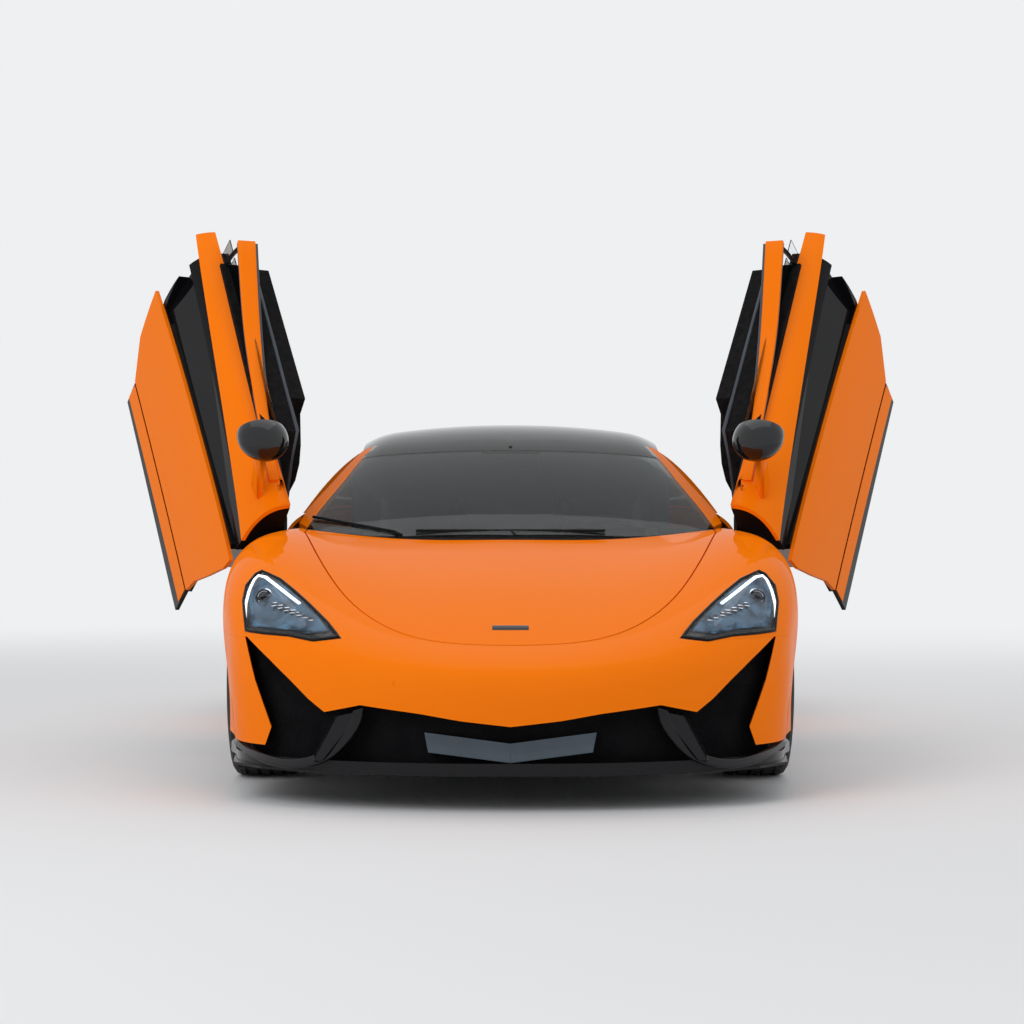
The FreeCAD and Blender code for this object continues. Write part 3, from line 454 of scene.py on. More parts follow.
looks = {
    "orangePaint": {"colour": (0.95, 0.19, 0.002), "colourTwo": (0.97, 0.205, 0.003), "rough": (0.3, 0.36),
        "patchScale": 900, "reliefScale": 260, "bump": 0.03, "bumpDepth": 0.0002,
        "shader": {"Coat Weight": 0.3, "Coat Roughness": 0.02, "Coat IOR": 1.3, "Specular IOR Level": 0.0}},
    "glossBlack": {"colour": (0.004, 0.004, 0.005), "colourTwo": (0.007, 0.007, 0.008),
        "rough": (0.06, 0.1), "patchScale": 3, "reliefScale": 220, "bump": 0.02, "bumpDepth": 0.0002,
        "shader": {"Coat Weight": 0.35, "Coat Roughness": 0.02, "Coat IOR": 1.3, "Specular IOR Level": 0.05}},
    "mirrorBlack": {"colour": (0.004, 0.005, 0.006), "colourTwo": (0.007, 0.008, 0.009),
        "rough": (0.1, 0.14), "relief": "weave", "reliefScale": 160, "bump": 0.02,
        "shader": {"Coat Weight": 0.8, "Coat Roughness": 0.02, "Specular IOR Level": 0.1}},
    "nosePlate": {"colour": (0.035, 0.05, 0.065), "colourTwo": (0.05, 0.07, 0.09), "rough": (0.16, 0.24),
        "reliefScale": 300, "bump": 0.03,
        "shader": {"Metallic": 0.5, "Coat Weight": 0.4}},
    "satinBlack": {"colour": (0.008, 0.008, 0.009), "colourTwo": (0.013, 0.013, 0.014),
        "rough": (0.42, 0.54), "patchScale": 12, "reliefScale": 900, "bump": 0.12,
        "shader": {"Specular IOR Level": 0.08}},
    "cardCloth": {"colour": (0.007, 0.007, 0.008), "colourTwo": (0.014, 0.013, 0.013),
        "rough": (0.8, 0.92), "patchScale": 40, "reliefScale": 1300, "bump": 0.3,
        "shader": {"Specular IOR Level": 0.05}},
    "matBlack": {"colour": (0.006, 0.006, 0.007), "colourTwo": (0.011, 0.011, 0.012), "rough": (0.7, 0.85),
        "patchScale": 10, "reliefScale": 900, "bump": 0.04,
        "shader": {"Specular IOR Level": 0.05}},
    "carbon": {"colour": (0.005, 0.005, 0.006), "weaveColour": (0.022, 0.022, 0.024),
        "rough": (0.16, 0.24), "relief": "weave", "reliefScale": 160, "bump": 0.06,
        "shader": {"Coat Weight": 0.35, "Coat Roughness": 0.04, "Coat IOR": 1.35, "Specular IOR Level": 0.1}},
    "tubCarbon": {"colour": (0.02, 0.02, 0.022), "weaveColour": (0.06, 0.06, 0.065), "rough": (0.35, 0.45),
        "relief": "weave", "reliefScale": 120, "bump": 0.06},
    "tintedGlass": {"colour": (0.34, 0.39, 0.4), "colourTwo": (0.36, 0.41, 0.42), "rough": (0.01, 0.02),
        "patchScale": 2, "reliefScale": 5, "bump": 0.004,
        "shader": {"Transmission Weight": 1.0, "IOR": 1.22}},
    "lampGlass": {"colour": (0.93, 0.95, 0.97), "rough": (0.0, 0.01), "patchScale": 2, "reliefScale": 5,
        "bump": 0.002,
        "shader": {"Transmission Weight": 1.0, "IOR": 1.3}},
    "lampChrome": {"colour": (0.72, 0.76, 0.82), "rough": (0.05, 0.1), "reliefScale": 300, "bump": 0.02,
        "shader": {"Metallic": 1.0}},
    "lampWhite": {"colour": (0.92, 0.95, 1.0), "rough": (0.2, 0.3), "reliefScale": 500, "bump": 0.03,
        "shader": {"Emission Color": (0.9, 0.95, 1.0, 1), "Emission Strength": 1.2}},
    "lampRed": {"colour": (0.3, 0.002, 0.003), "colourTwo": (0.38, 0.004, 0.005), "rough": (0.08, 0.14),
        "reliefScale": 240, "bump": 0.05,
        "shader": {"Coat Weight": 0.3, "Specular IOR Level": 0.2}},
    "lampInner": {"colour": (0.012, 0.035, 0.07), "colourTwo": (0.1, 0.2, 0.3), "rough": (0.1, 0.18),
        "patchScale": 22, "reliefScale": 120, "bump": 0.15,
        "shader": {"Metallic": 0.7}},
    "darkHide": {"colour": (0.03, 0.026, 0.025), "colourTwo": (0.042, 0.036, 0.034), "rough": (0.45, 0.6),
        "patchScale": 9, "relief": "pebble", "reliefScale": 420, "bump": 0.25, "bumpDepth": 0.0006},
    "suede": {"colour": (0.026, 0.02, 0.018), "colourTwo": (0.042, 0.032, 0.028), "rough": (0.85, 0.95),
        "patchScale": 30, "reliefScale": 1500, "bump": 0.35,
        "shader": {"Specular IOR Level": 0.2}},
    "tanStitch": {"colour": (0.5, 0.27, 0.12), "colourTwo": (0.42, 0.22, 0.09), "rough": (0.6, 0.8),
        "reliefScale": 900, "bump": 0.3},
    "rubber": {"colour": (0.016, 0.016, 0.016), "colourTwo": (0.026, 0.025, 0.024), "rough": (0.72, 0.88),
        "patchScale": 18, "reliefScale": 700, "bump": 0.2},
    "sealStrip": {"colour": (0.045, 0.055, 0.068), "colourTwo": (0.06, 0.07, 0.085), "rough": (0.5, 0.62),
        "patchScale": 14, "reliefScale": 600, "bump": 0.15},
    "rimMetal": {"colour": (0.09, 0.09, 0.095), "colourTwo": (0.12, 0.12, 0.125), "rough": (0.24, 0.34),
        "patchScale": 20, "reliefScale": 500, "bump": 0.04,
        "shader": {"Metallic": 0.85, "Coat Weight": 0.5, "Coat Roughness": 0.06}},
    "castAlloy": {"colour": (0.34, 0.34, 0.35), "colourTwo": (0.26, 0.26, 0.27), "rough": (0.4, 0.6),
        "patchScale": 24, "reliefScale": 350, "bump": 0.25,
        "shader": {"Metallic": 0.9}},
    "exhaustSteel": {"colour": (0.48, 0.46, 0.44), "colourTwo": (0.34, 0.31, 0.3), "rough": (0.18, 0.34),
        "patchScale": 16, "relief": "rings", "reliefScale": 220, "bump": 0.06,
        "shader": {"Metallic": 1.0}},
    "brakePaint": {"colour": (0.86, 0.165, 0.006), "colourTwo": (0.78, 0.15, 0.006), "rough": (0.25, 0.35),
        "reliefScale": 300, "bump": 0.08,
        "shader": {"Coat Weight": 0.6}},
    "mirrorSilver": {"colour": (0.82, 0.84, 0.86), "rough": (0.01, 0.02), "reliefScale": 5, "bump": 0.002,
        "shader": {"Metallic": 1.0}},
    "screenGlass": {"colour": (0.008, 0.009, 0.012), "colourTwo": (0.012, 0.014, 0.018),
        "rough": (0.05, 0.08), "reliefScale": 50, "bump": 0.01,
        "shader": {"Coat Weight": 1.0}},
    "engineMetal": {"colour": (0.16, 0.16, 0.17), "colourTwo": (0.24, 0.24, 0.25), "rough": (0.35, 0.55),
        "patchScale": 30, "reliefScale": 260, "bump": 0.3,
        "shader": {"Metallic": 0.8}},
}
for finishName, look in looks.items():
    makeFinish(finishName, look)

finishNodes = {
    "orangePaint": ["bonnet", "wing_left", "wing_right", "front_bumper", "canopy_frame", "quarter_left",
        "quarter_right", "rear_bumper", "door_skin_left", "door_skin_right"],
    "carbon": ["front_splitter", "diffuser"],
    "matBlack": ["nose_backing", "wheel_liners"],
    "satinBlack": ["tail_panel", "wipers"],
    "glossBlack": ["door_frame_left", "door_frame_right", "roof", "engine_cover", "mirror_left",
        "mirror_right"],
    "lampGlass": ["lamp_covers"],
    "tintedGlass": ["glazing", "door_glass_left", "door_glass_right"],
    "lampRed": ["tail_lamps"],
    "exhaustSteel": ["exhausts"],
    "tubCarbon": ["tub"],
    "darkHide": ["seats", "steering_wheel"],
    "suede": ["dashboard"],
    "engineMetal": ["engine_block"],
    "cardCloth": ["door_card_left", "door_card_right"],
    "castAlloy": ["front_suspension", "rear_suspension", "knuckle_left", "knuckle_right"],
    "rubber": ["tyre_front_left", "tyre_front_right", "tyre_rear_left", "tyre_rear_right"],
    "rimMetal": ["rim_front_left", "rim_front_right", "rim_rear_left", "rim_rear_right"],
}
for finishName, nodes in finishNodes.items():
    for node in nodes:
        cadNodes[node].data.materials.clear()
        cadNodes[node].data.materials.append(finishes[finishName])
print("finishes laid on the frame")


# wheels: tyres with tread, rim trim and brake calipers
wheel = {
    "front": {"track": 0.815, "axleY": -1.165, "radius": 0.32, "width": 0.225, "rim": 0.241},
    "rear": {"track": 0.803, "axleY": 1.505, "radius": 0.354, "width": 0.285, "rim": 0.254},
    "steps": 90, "beadFit": 0.001, "weld": 0.00005,
    # the side wall as (in from the side, up from the bead) and (in from the side, down from the tread)
    "lowerWall": ((0.020, 0), (0.010, 0.010), (0.0008, 0.028)),
    "upperWall": ((0.0008, 0.040), (0.004, 0.022), (0.014, 0.007), (0.028, 0.0014)),
    "grooves": (-0.62, -0.2, 0.2, 0.62), "grooveSpread": 0.86, "grooveDepth": 0.007,
    "grooveHalf": 0.006, "grooveFootHalf": 0.0045, "grooveLip": 0.0006,
    "slotEvery": 2, "slotReach": 0.004, "middleRib": 0.012, "slotEdge": 0.0035, "slotDepth": 0.0042,
    "rimEdgeIn": 0.006, "rimEdgeThick": 0.0045, "faceIn": 0.040,
    "boltCount": 5, "boltTurn": 18, "boltCircle": 0.046, "boltRadius": 0.010, "boltBack": 0.004,
    "boltHead": 0.013, "capRadius": 0.030, "capDepth": 0.012,
}


def tyreOutline(size):
    # the section from bead to bead, as (across, up) from the wheel's middle
    half, top, bead = size["width"] / 2, size["radius"], size["rim"] + wheel["beadFit"]
    wide, narrow = wheel["grooveHalf"], wheel["grooveFootHalf"]
    lip, foot = top - wheel["grooveLip"], top - wheel["grooveDepth"]
    ribs = []
    for groove in wheel["grooves"]:
        at = groove * half * wheel["grooveSpread"]
        ribs += [(at - wide, lip), (at - narrow, foot), (at + narrow, foot), (at + wide, lip)]
    left = [(-half + inward, bead + up) for inward, up in wheel["lowerWall"]]
    left += [(-half + inward, top - down) for inward, down in wheel["upperWall"]]
    right = [(-across, up) for across, up in reversed(left)]
    return left + ribs + right


def makeTyre(end):
    # the section is drawn, turned round the axle, and its ribs are cut into blocks
    size = wheel[end]
    centre = Vector((size["track"], size["axleY"], size["radius"]))
    outline = tyreOutline(size)
    closed = outline + [outline[0]]
    first = (size["track"] + outline[0][0], size["axleY"], size["radius"] + outline[0][1])
    tyre = drawSteps(first, [(after[0] - before[0], 0, after[1] - before[1])
                             for before, after in zip(closed, closed[1:])])
    bpy.ops.mesh.remove_doubles(threshold=wheel["weld"])
    bpy.ops.mesh.spin(steps=wheel["steps"], angle=math.tau, axis=(1, 0, 0),
                      center=(size["track"], size["axleY"], size["radius"]))
    bpy.ops.mesh.select_all(action="SELECT")
    bpy.ops.mesh.remove_doubles(threshold=wheel["weld"])
    bpy.ops.mesh.normals_make_consistent(inside=False)
    endEdit()
    settle(tyre, "tyreTread_" + end)

    def onSlot(middle, normal):
        # every other step of each rib but the middle one
        arm = middle - centre
        if math.hypot(arm.y, arm.z) < size["radius"] - wheel["slotReach"]:
            return False
        turn = math.atan2(arm.z, arm.y) / math.tau * wheel["steps"]
        return abs(arm.x) > wheel["middleRib"] and int(math.floor(turn)) % wheel["slotEvery"] == 0

    insetFaces(tyre, onSlot, wheel["slotEdge"], -wheel["slotDepth"], apart=True)
    return tyre


def makeRimTrim(end):
    # rim edge, bolts and a plain cap, on the car's left
    size = wheel[end]
    outer = size["track"] + size["width"] / 2 - wheel["rimEdgeIn"]
    centre = Vector((outer - wheel["faceIn"], size["axleY"], size["radius"]))
    ringCentre = (outer - 0.002, size["axleY"], size["radius"])
    ringRadius = size["rim"] - wheel["rimEdgeIn"]
    parts = [startRing("rimEdge", ringCentre, (1, 0, 0), ringRadius, wheel["rimEdgeThick"],
                       steps=96, sides=10)]
    for turn in range(wheel["boltCount"]):
        angle = math.radians(360 / wheel["boltCount"] * turn + wheel["boltTurn"])
        arm = Vector((0, math.cos(angle) * wheel["boltCircle"], math.sin(angle) * wheel["boltCircle"]))
        back = centre + arm - Vector((wheel["boltBack"], 0, 0))
        head = centre + arm + Vector((wheel["boltHead"], 0, 0))
        bolt = startRod("bolt", back, head, wheel["boltRadius"], sides=6)
        insetFaces(bolt, facesOut, thickness=0.004, depth=-0.003)
        parts.append(bolt)
    cap = startRod("cap", centre, centre + Vector((wheel["capDepth"], 0, 0)), wheel["capRadius"], sides=40)
    insetFaces(cap, facesOut, thickness=0.004, depth=0.002)
    parts.append(cap)
    return joinPieces("rimTrim_" + end, parts)


def dressWheel(end):
    tyre = makeTyre(end)
    twin = mirrorCopy(tyre, "tyreTread_" + end + "_right")
    tyre.name = "tyreTread_" + end + "_left"
    for side, piece in (("left", tyre), ("right", twin)):
        finish(piece, "wheel_" + end + "_" + side, "rubber", angle=28)
        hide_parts("tyre_" + end + "_" + side)
    finishPair(makeRimTrim(end), "wheel_" + end + "_left", "rimMetal", edge=0.0012)


dressWheel("front")
dressWheel("rear")

# each caliper is made straight up from the axle, then turned about it
caliper = {
    "size": (0.082, 0.150, 0.058), "reach": 0.150, "panelEdge": 0.014, "panelRise": 0.008, "bevel": 0.008,
    "front": {"x": 0.782, "angle": 150, "carrier": "knuckle_left"},
    "rear": {"x": 0.772, "angle": 30, "carrier": "body"},
}
for end in ("front", "rear"):
    made, size = caliper[end], wheel[end]
    block = startBlock("caliper_" + end, (made["x"], size["axleY"], size["radius"] + caliper["reach"]),
                       caliper["size"])
    insetFaces(block, facesOut, caliper["panelEdge"], caliper["panelRise"])
    editAll(block)
    bpy.ops.transform.rotate(value=math.radians(made["angle"] - 90), orient_axis="X",
                             center_override=(made["x"], size["axleY"], size["radius"]))
    endEdit()
    finishPair(block, made["carrier"], "brakePaint", caliper["bevel"])
print("wheels dressed")


# nose: mesh in the intakes, centre plate, canards, parking sensors and plaque
nose = {
    "mesh": {"columns": 128, "rows": 32, "place": (0, -2.6, 0.33), "size": (1.80, 0.46),
             "backwards": True, "offset": 0.012, "wire": 0.0022},
    "meshNear": -2.45, "meshFar": -1.60, "meshFoot": 0.125, "meshHalf": 0.845, "meshSlope": 0.25,
    "plate": [(0, -2.2275, 0.207), (0.257, -2.2105, 0.239), (0.246, -2.2085, 0.179), (0, -2.2275, 0.149)],
    "canardOuter": [(0.440, -2.192, 0.311), (0.443, -2.192, 0.268), (0.479, -2.178, 0.213),
                    (0.542, -2.156, 0.146), (0.648, -2.104, 0.116), (0.726, -2.050, 0.122),
                    (0.807, -1.957, 0.140), (0.876, -1.760, 0.168)],
    "canardInner": [(0.470, -2.176, 0.301), (0.478, -2.170, 0.262), (0.511, -2.156, 0.226),
                    (0.563, -2.132, 0.166), (0.652, -2.078, 0.140), (0.722, -2.022, 0.144),
                    (0.795, -1.932, 0.160), (0.856, -1.760, 0.184)],
    "canardThick": 0.007, "sensor": (0.344, 0.384), "sensorRadius": 0.0095, "sensorDepth": 0.006,
    "plaqueHalf": 0.056, "plaqueFoot": 0.533, "plaqueTop": 0.5455, "plaqueLift": 0.0016, "plaqueSteps": 6,
}


def besideIntake(spot):
    return (spot.y < nose["meshNear"] or spot.y > nose["meshFar"] or spot.z < nose["meshFoot"]
            or abs(spot.x) > nose["meshHalf"])


grille = layNet("intakeMesh", "nose_backing", nose["mesh"], besideIntake,
                lambda middle, normal: abs(normal.y) < nose["meshSlope"])
finish(grille, "body", "matBlack", angle=60)

plate = drawPlate("centrePlate", nose["plate"], (0, 0.004, 0))
insetFaces(plate, facesAhead, thickness=0.006, depth=-0.0025)
finishPair(plate, "body", "nosePlate", edge=0.0008)

canard = thickSheet("canard", [nose["canardOuter"], nose["canardInner"]], nose["canardThick"])
finishPair(canard, "body", "carbon", edge=0.0015)

spot = frontSpot("front_bumper", *nose["sensor"])
sensor = startRod("parkSensor", spot + Vector((0, -0.0004, 0)), spot + Vector((0, nose["sensorDepth"], 0)),
                  nose["sensorRadius"], sides=32)
insetFaces(sensor, facesAhead, thickness=0.0015, depth=-0.0006)
finishPair(sensor, "body", "orangePaint", edge=0.0004)

plaqueLine = [nose["plaqueHalf"] * (step / nose["plaqueSteps"] - 1)
              for step in range(2 * nose["plaqueSteps"] + 1)]
plaqueSpots = [frontSpot("bonnet", x, nose["plaqueFoot"], nose["plaqueLift"]) for x in plaqueLine]
plaqueSpots += [frontSpot("bonnet", x, nose["plaqueTop"], nose["plaqueLift"]) for x in reversed(plaqueLine)]
plaque = drawPlate("nosePlaque", plaqueSpots, (0, 0.0012, 0))
finish(plaque, "bonnet", "glossBlack", edge=0.0003)

# headlamps, as (x, z) from the front: bright tick, projector, dark border, reflector and small lenses
lamp = {
    "tick": [(0.828, 0.560), (0.830, 0.600), (0.824, 0.640), (0.812, 0.674), (0.800, 0.686), (0.776, 0.682),
             (0.735, 0.657), (0.690, 0.628), (0.655, 0.606)],
    "tickDepth": 0.011, "tickRadius": 0.0058,
    "edge": [(0.846, 0.610), (0.842, 0.658), (0.814, 0.695), (0.792, 0.706), (0.728, 0.682), (0.671, 0.644),
             (0.621, 0.607), (0.555, 0.554), (0.512, 0.511), (0.600, 0.500), (0.676, 0.512), (0.760, 0.515),
             (0.826, 0.520)],
    "edgeSteps": 4, "borderShare": 0.955, "borderDepth": 0.0008, "borderRadius": 0.0052,
    "reflectorShare": 0.80, "reflectorDepth": 0.0150,
    "projector": (0.772, 0.622), "projectorDepth": 0.025, "projectorRadius": 0.027,
    "projectorBack": 0.03, "projectorFront": 0.016, "lensSize": (0.021, 0.014, 0.021),
    "rowStart": (0.735, 0.602), "rowEnd": (0.612, 0.562), "rowCount": 7, "rowDepth": 0.014,
    "cellSize": (0.0165, 0.012, 0.0125),
}


def lampOutline(share, depth):
    # the cover's outline drawn in towards its middle, set back behind the cover
    middleX = sum(x for x, z in lamp["edge"]) / len(lamp["edge"])
    middleZ = sum(z for x, z in lamp["edge"]) / len(lamp["edge"])
    steps = lamp["edgeSteps"]
    spots = []
    for (x, z), (nextX, nextZ) in zip(lamp["edge"], lamp["edge"][1:] + lamp["edge"][:1]):
        for step in range(steps):
            atX, atZ = x + (nextX - x) * step / steps, z + (nextZ - z) * step / steps
            spot = frontSpot("lamp_covers", middleX + (atX - middleX) * share,
                             middleZ + (atZ - middleZ) * share)
            if spot:
                spots.append(spot + Vector((0, depth, 0)))
    return spots


tickSpots = [frontSpot("lamp_covers", x, z, -lamp["tickDepth"]) for x, z in lamp["tick"]]
tick = drawLine("lampTick", [spot for spot in tickSpots if spot], lamp["tickRadius"])
finishPair(tick, "body", "lampWhite", angle=60)
centre = frontSpot("lamp_covers", *lamp["projector"], -lamp["projectorDepth"])
barrel = startRod("projectorRing", centre + Vector((0, -lamp["projectorFront"], 0)),
                  centre + Vector((0, lamp["projectorBack"], 0)), lamp["projectorRadius"], sides=48)
insetFaces(barrel, facesAhead, thickness=0.005, depth=-0.012)
finishPair(barrel, "body", "lampChrome", edge=0.001)
eye = startBall("projectorLens", centre + Vector((0, -0.001, 0)), lamp["lensSize"], rings=20)
finishPair(eye, "body", "screenGlass", angle=60)
borderSpots = lampOutline(lamp["borderShare"], lamp["borderDepth"])
border = drawLine("lampBorder", borderSpots, lamp["borderRadius"], closed=True)
finishPair(border, "body", "glossBlack", angle=60)
reflectorSpots = lampOutline(lamp["reflectorShare"], lamp["reflectorDepth"])
reflector = drawPlate("lampReflector", reflectorSpots, (0, 0.001, 0))
insetFaces(reflector, lambda middle, normal: normal.y < -0.3 and abs(normal.z) < 0.9,
           thickness=0.006, depth=-0.0015)
finishPair(reflector, "body", "lampInner")
rowParts = []
for index in range(lamp["rowCount"]):
    share = index / (lamp["rowCount"] - 1)
    x = lamp["rowStart"][0] + (lamp["rowEnd"][0] - lamp["rowStart"][0]) * share
    z = lamp["rowStart"][1] + (lamp["rowEnd"][1] - lamp["rowStart"][1]) * share
    spot = frontSpot("lamp_covers", x, z, -lamp["rowDepth"])
    if not spot:
        continue
    cell = startBlock("cell", spot, lamp["cellSize"])
    insetFaces(cell, facesAhead, thickness=0.0026, depth=-0.004)
    rowParts.append(cell)
row = joinPieces("lampRow", rowParts)
finishPair(row, "body", "lampChrome", edge=0.0006)
print("nose dressed")


# panels that close the body behind the front wheel and over the rear one
pillar = {"middle": (0.625, -0.690, 0.440), "size": (0.012, 0.190, 0.470), "bevel": 0.003,
          "recessEdge": 0.022, "recessDepth": 0.004, "fieldEdge": 0.030, "fieldRise": 0.003}
panel = startBlock("pillarPanel", pillar["middle"], pillar["size"])
insetFaces(panel, facesOut, pillar["recessEdge"], -pillar["recessDepth"])
insetFaces(panel, lambda middle, normal: normal.x > 0.9 and abs(middle.z - pillar["middle"][2]) < 0.01,
           pillar["fieldEdge"], pillar["fieldRise"])
finishPair(panel, "body", "tubCarbon", pillar["bevel"])

arch = {"radius": 0.402, "across": (0.600, 0.70, 0.80, 0.905), "fromAngle": 12, "toAngle": 172, "steps": 14,
        "thick": 0.004}
archRows = []
for x in arch["across"]:
    row = []
    for step in range(arch["steps"] + 1):
        share = step / arch["steps"]
        angle = math.radians(arch["fromAngle"] + (arch["toAngle"] - arch["fromAngle"]) * share)
        row.append((x, wheel["rear"]["axleY"] + math.cos(angle) * arch["radius"],
                    wheel["rear"]["radius"] + math.sin(angle) * arch["radius"]))
    archRows.append(row)
archLiner = thickSheet("rearArchLiner", archRows, arch["thick"])
finishPair(archLiner, "body", "matBlack", edge=0.001)
print("closing panels set")


# screen header and mirrors
header = {"front": ((0, -0.165, 1), (0, 0.35, 0.2)), "back": ((0, 0.2, 1), (0, -1, 0)), "lift": 0.0004}
band = copyNode("glazing", "screenHeader")
keepBeyond(band, *header["front"])
keepBeyond(band, *header["back"])
fatten(band, header["lift"])
finish(band, "body", "glossBlack", angle=40)

inside = {"centre": (0, -0.235, 1.065), "size": (0.215, 0.022, 0.058), "bevel": 0.007,
          "stemFoot": (0, -0.225, 1.075), "stemTop": (0, -0.185, 1.115), "stemRadius": 0.008}
insideMirror = startBlock("insideMirror", inside["centre"], inside["size"])
insetFaces(insideMirror, facesBack, thickness=0.004, depth=-0.002)
finish(insideMirror, "body", "satinBlack", inside["bevel"])
mirrorStem = startRod("insideMirrorStem", inside["stemFoot"], inside["stemTop"], inside["stemRadius"],
                      sides=20)
finish(mirrorStem, "body", "satinBlack", edge=0.001)

# a ball cut off flat behind, its mouth let in, with the glass inside
mirror = {"centre": (0.890, -0.592, 0.985), "size": (0.092, 0.090, 0.068), "mouth": (0.890, -0.562, 0.985),
          "lipScale": 0.94, "mouthDepth": 0.010, "glassBack": 0.006, "glassSize": (0.0780, 0.0030, 0.0570)}
housing = startBall("mirrorShell", mirror["centre"], mirror["size"], rings=32)
keepBeyond(housing, mirror["mouth"], (0, -1, 0))
editAll(housing)
bpy.ops.mesh.region_to_loop()
bpy.ops.mesh.edge_face_add()
endEdit()
pickFaces(housing, lambda middle, normal: abs(middle.y - mirror["mouth"][1]) < 0.0005)
for scale, push in ((mirror["lipScale"], 0), (1, -mirror["mouthDepth"])):
    bpy.ops.mesh.extrude_region_move(TRANSFORM_OT_translate={"value": (0, push, 0)})
    bpy.ops.transform.resize(value=(scale, 1, scale), center_override=mirror["mouth"])
endEdit()
for side, piece in zip(("left", "right"), hangOnDoor(housing, "mirrorBlack", angle=50)):
    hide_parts("mirror_" + side)
glassCentre = (mirror["mouth"][0], mirror["mouth"][1] - mirror["glassBack"], mirror["mouth"][2])
wingMirror = startBall("mirrorGlass", glassCentre, mirror["glassSize"], rings=24)
hangOnDoor(wingMirror, "mirrorSilver", angle=60)


# doors: all is made at the shut door's place on the car's left, then swung up with it
rail = {
    "round": [(0.772, -0.680, 0.822), (0.757, -0.200, 0.938), (0.740, 0.340, 1.008), (0.775, 0.350, 0.850)],
    "roundRadius": 0.0125, "before": 0.004, "after": 0.012,
    "outer": [(0.812, -0.640, 0.818), (0.808, -0.480, 0.833), (0.805, -0.340, 0.847),
              (0.800, -0.200, 0.861), (0.796, -0.005, 0.892), (0.788, 0.183, 0.946), (0.780, 0.352, 0.996)],
    "inner": [(0.778, -0.640, 0.821), (0.772, -0.480, 0.837), (0.764, -0.340, 0.851),
              (0.752, -0.200, 0.865), (0.736, -0.005, 0.898), (0.724, 0.183, 0.952), (0.712, 0.352, 1.000)],
    "thick": 0.012,
    "footInner": [(0.768, 0.338, 0.990), (0.780, 0.352, 0.930), (0.784, 0.352, 0.850)],
    "footOuter": [(0.728, 0.348, 0.990), (0.752, 0.374, 0.930), (0.762, 0.376, 0.850)],
    "footThick": 0.010,
    # which line the seal below the rail follows, how far in from it and how far down
    "seal": (("outer", 0.002, 0.012), ("inner", 0.014, 0.010)), "sealThick": 0.008,
}


def onRail(middle, normal):
    # the CAD door's round rail, which the flat one takes the place of
    for start, end in zip(rail["round"], rail["round"][1:]):
        start, end = Vector(start), Vector(end)
        along = (end - start).normalized()
        share = (middle - start).dot(along)
        if -rail["before"] < share < (end - start).length + rail["after"]:
            if ((middle - start) - along * share).length < rail["roundRadius"]:
                return True
    return False


doorShell = copyNode("door_skin_left", "doorShell")
swingDoor(doorShell, -hinge["openAngle"])
removeFaces(doorShell, onRail)
editAll(doorShell)
bpy.ops.mesh.fill_holes(sides=0)
endEdit()
for side, piece in zip(("left", "right"), hangOnDoor(doorShell, "orangePaint", angle=30)):
    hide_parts("door_skin_" + side)

# the orange cover below the door is laid on the door frame's outer face
skirt = {"columns": 12, "fromY": -0.689, "toY": 0.286, "heights": (0.166, 0.190, 0.214, 0.2385),
         "lift": 0.0014, "thick": 0.0016}
shutFrame = copyNode("door_frame_left", "shutFrame")
swingDoor(shutFrame, -hinge["openAngle"])
skirtRows = []
for z in skirt["heights"]:
    row = []
    for step in range(skirt["columns"]):
        y = skirt["fromY"] + (skirt["toY"] - skirt["fromY"]) * step / (skirt["columns"] - 1)
        hit, spot, normal, index = shutFrame.ray_cast(Vector((2, y, z)), Vector((-1, 0, 0)))
        row.append(spot + Vector((skirt["lift"], 0, 0)) if hit else row[-1])
    skirtRows.append(row)
bpy.data.objects.remove(shutFrame, do_unlink=True)
skirtSheet = thickSheet("skirtSheet", skirtRows, skirt["thick"])
hangOnDoor(skirtSheet, "orangePaint")
flatRail = thickSheet("doorRail", [rail["outer"], rail["inner"]], rail["thick"])
hangOnDoor(flatRail, "orangePaint", edge=0.002)
sealRows = [[(x - inward, y, z - down) for x, y, z in rail[line]] for line, inward, down in rail["seal"]]
railSeal = thickSheet("railSeal", sealRows, rail["sealThick"])
hangOnDoor(railSeal, "sealStrip", edge=0.0015)
railFoot = thickSheet("railFoot", [rail["footInner"], rail["footOuter"]], rail["footThick"])
hangOnDoor(railFoot, "satinBlack", edge=0.002)

# the door's inner side, as (y, z) at one depth
door = {
    "sealX": 0.668, "sealRadius": 0.007,
    "seal": [(-0.585, 0.372), (-0.575, 0.650), (-0.485, 0.755), (-0.425, 0.852), (0.340, 0.866),
             (0.342, 0.512), (0.245, 0.372)],
    "stitchX": 0.6045, "stitchRadius": 0.0014,
    "stitch": [(-0.485, 0.425), (-0.472, 0.640), (-0.43, 0.700), (-0.385, 0.735), (-0.285, 0.790),
               (-0.262, 0.838), (0.330, 0.838), (0.335, 0.520), (0.245, 0.425)],
    "pullCentre": (0.603, -0.05, 0.655), "pullSize": (0.010, 0.200, 0.034),
    "speakerFace": (0.6025, -0.36, 0.50), "speakerBack": (0.608, -0.36, 0.50), "speakerRadius": 0.062,
}
sealSpots = [(door["sealX"], y, z) for y, z in door["seal"]]
seal = drawLine("doorSeal", sealSpots, door["sealRadius"], closed=True)
hangOnDoor(seal, "sealStrip", angle=60)
stitchSpots = [(door["stitchX"], y, z) for y, z in door["stitch"]]
stitch = drawLine("doorStitch", stitchSpots, door["stitchRadius"], closed=True)
hangOnDoor(stitch, "tanStitch", angle=60)
pull = startBlock("doorPull", door["pullCentre"], door["pullSize"])
insetFaces(pull, facesIn, thickness=0.007, depth=-0.005)
hangOnDoor(pull, "satinBlack", edge=0.003)
speaker = startRod("doorSpeaker", door["speakerFace"], door["speakerBack"], door["speakerRadius"], sides=64)
insetFaces(speaker, facesIn, thickness=0.006, depth=-0.002)
hangOnDoor(speaker, "matBlack", edge=0.0012)
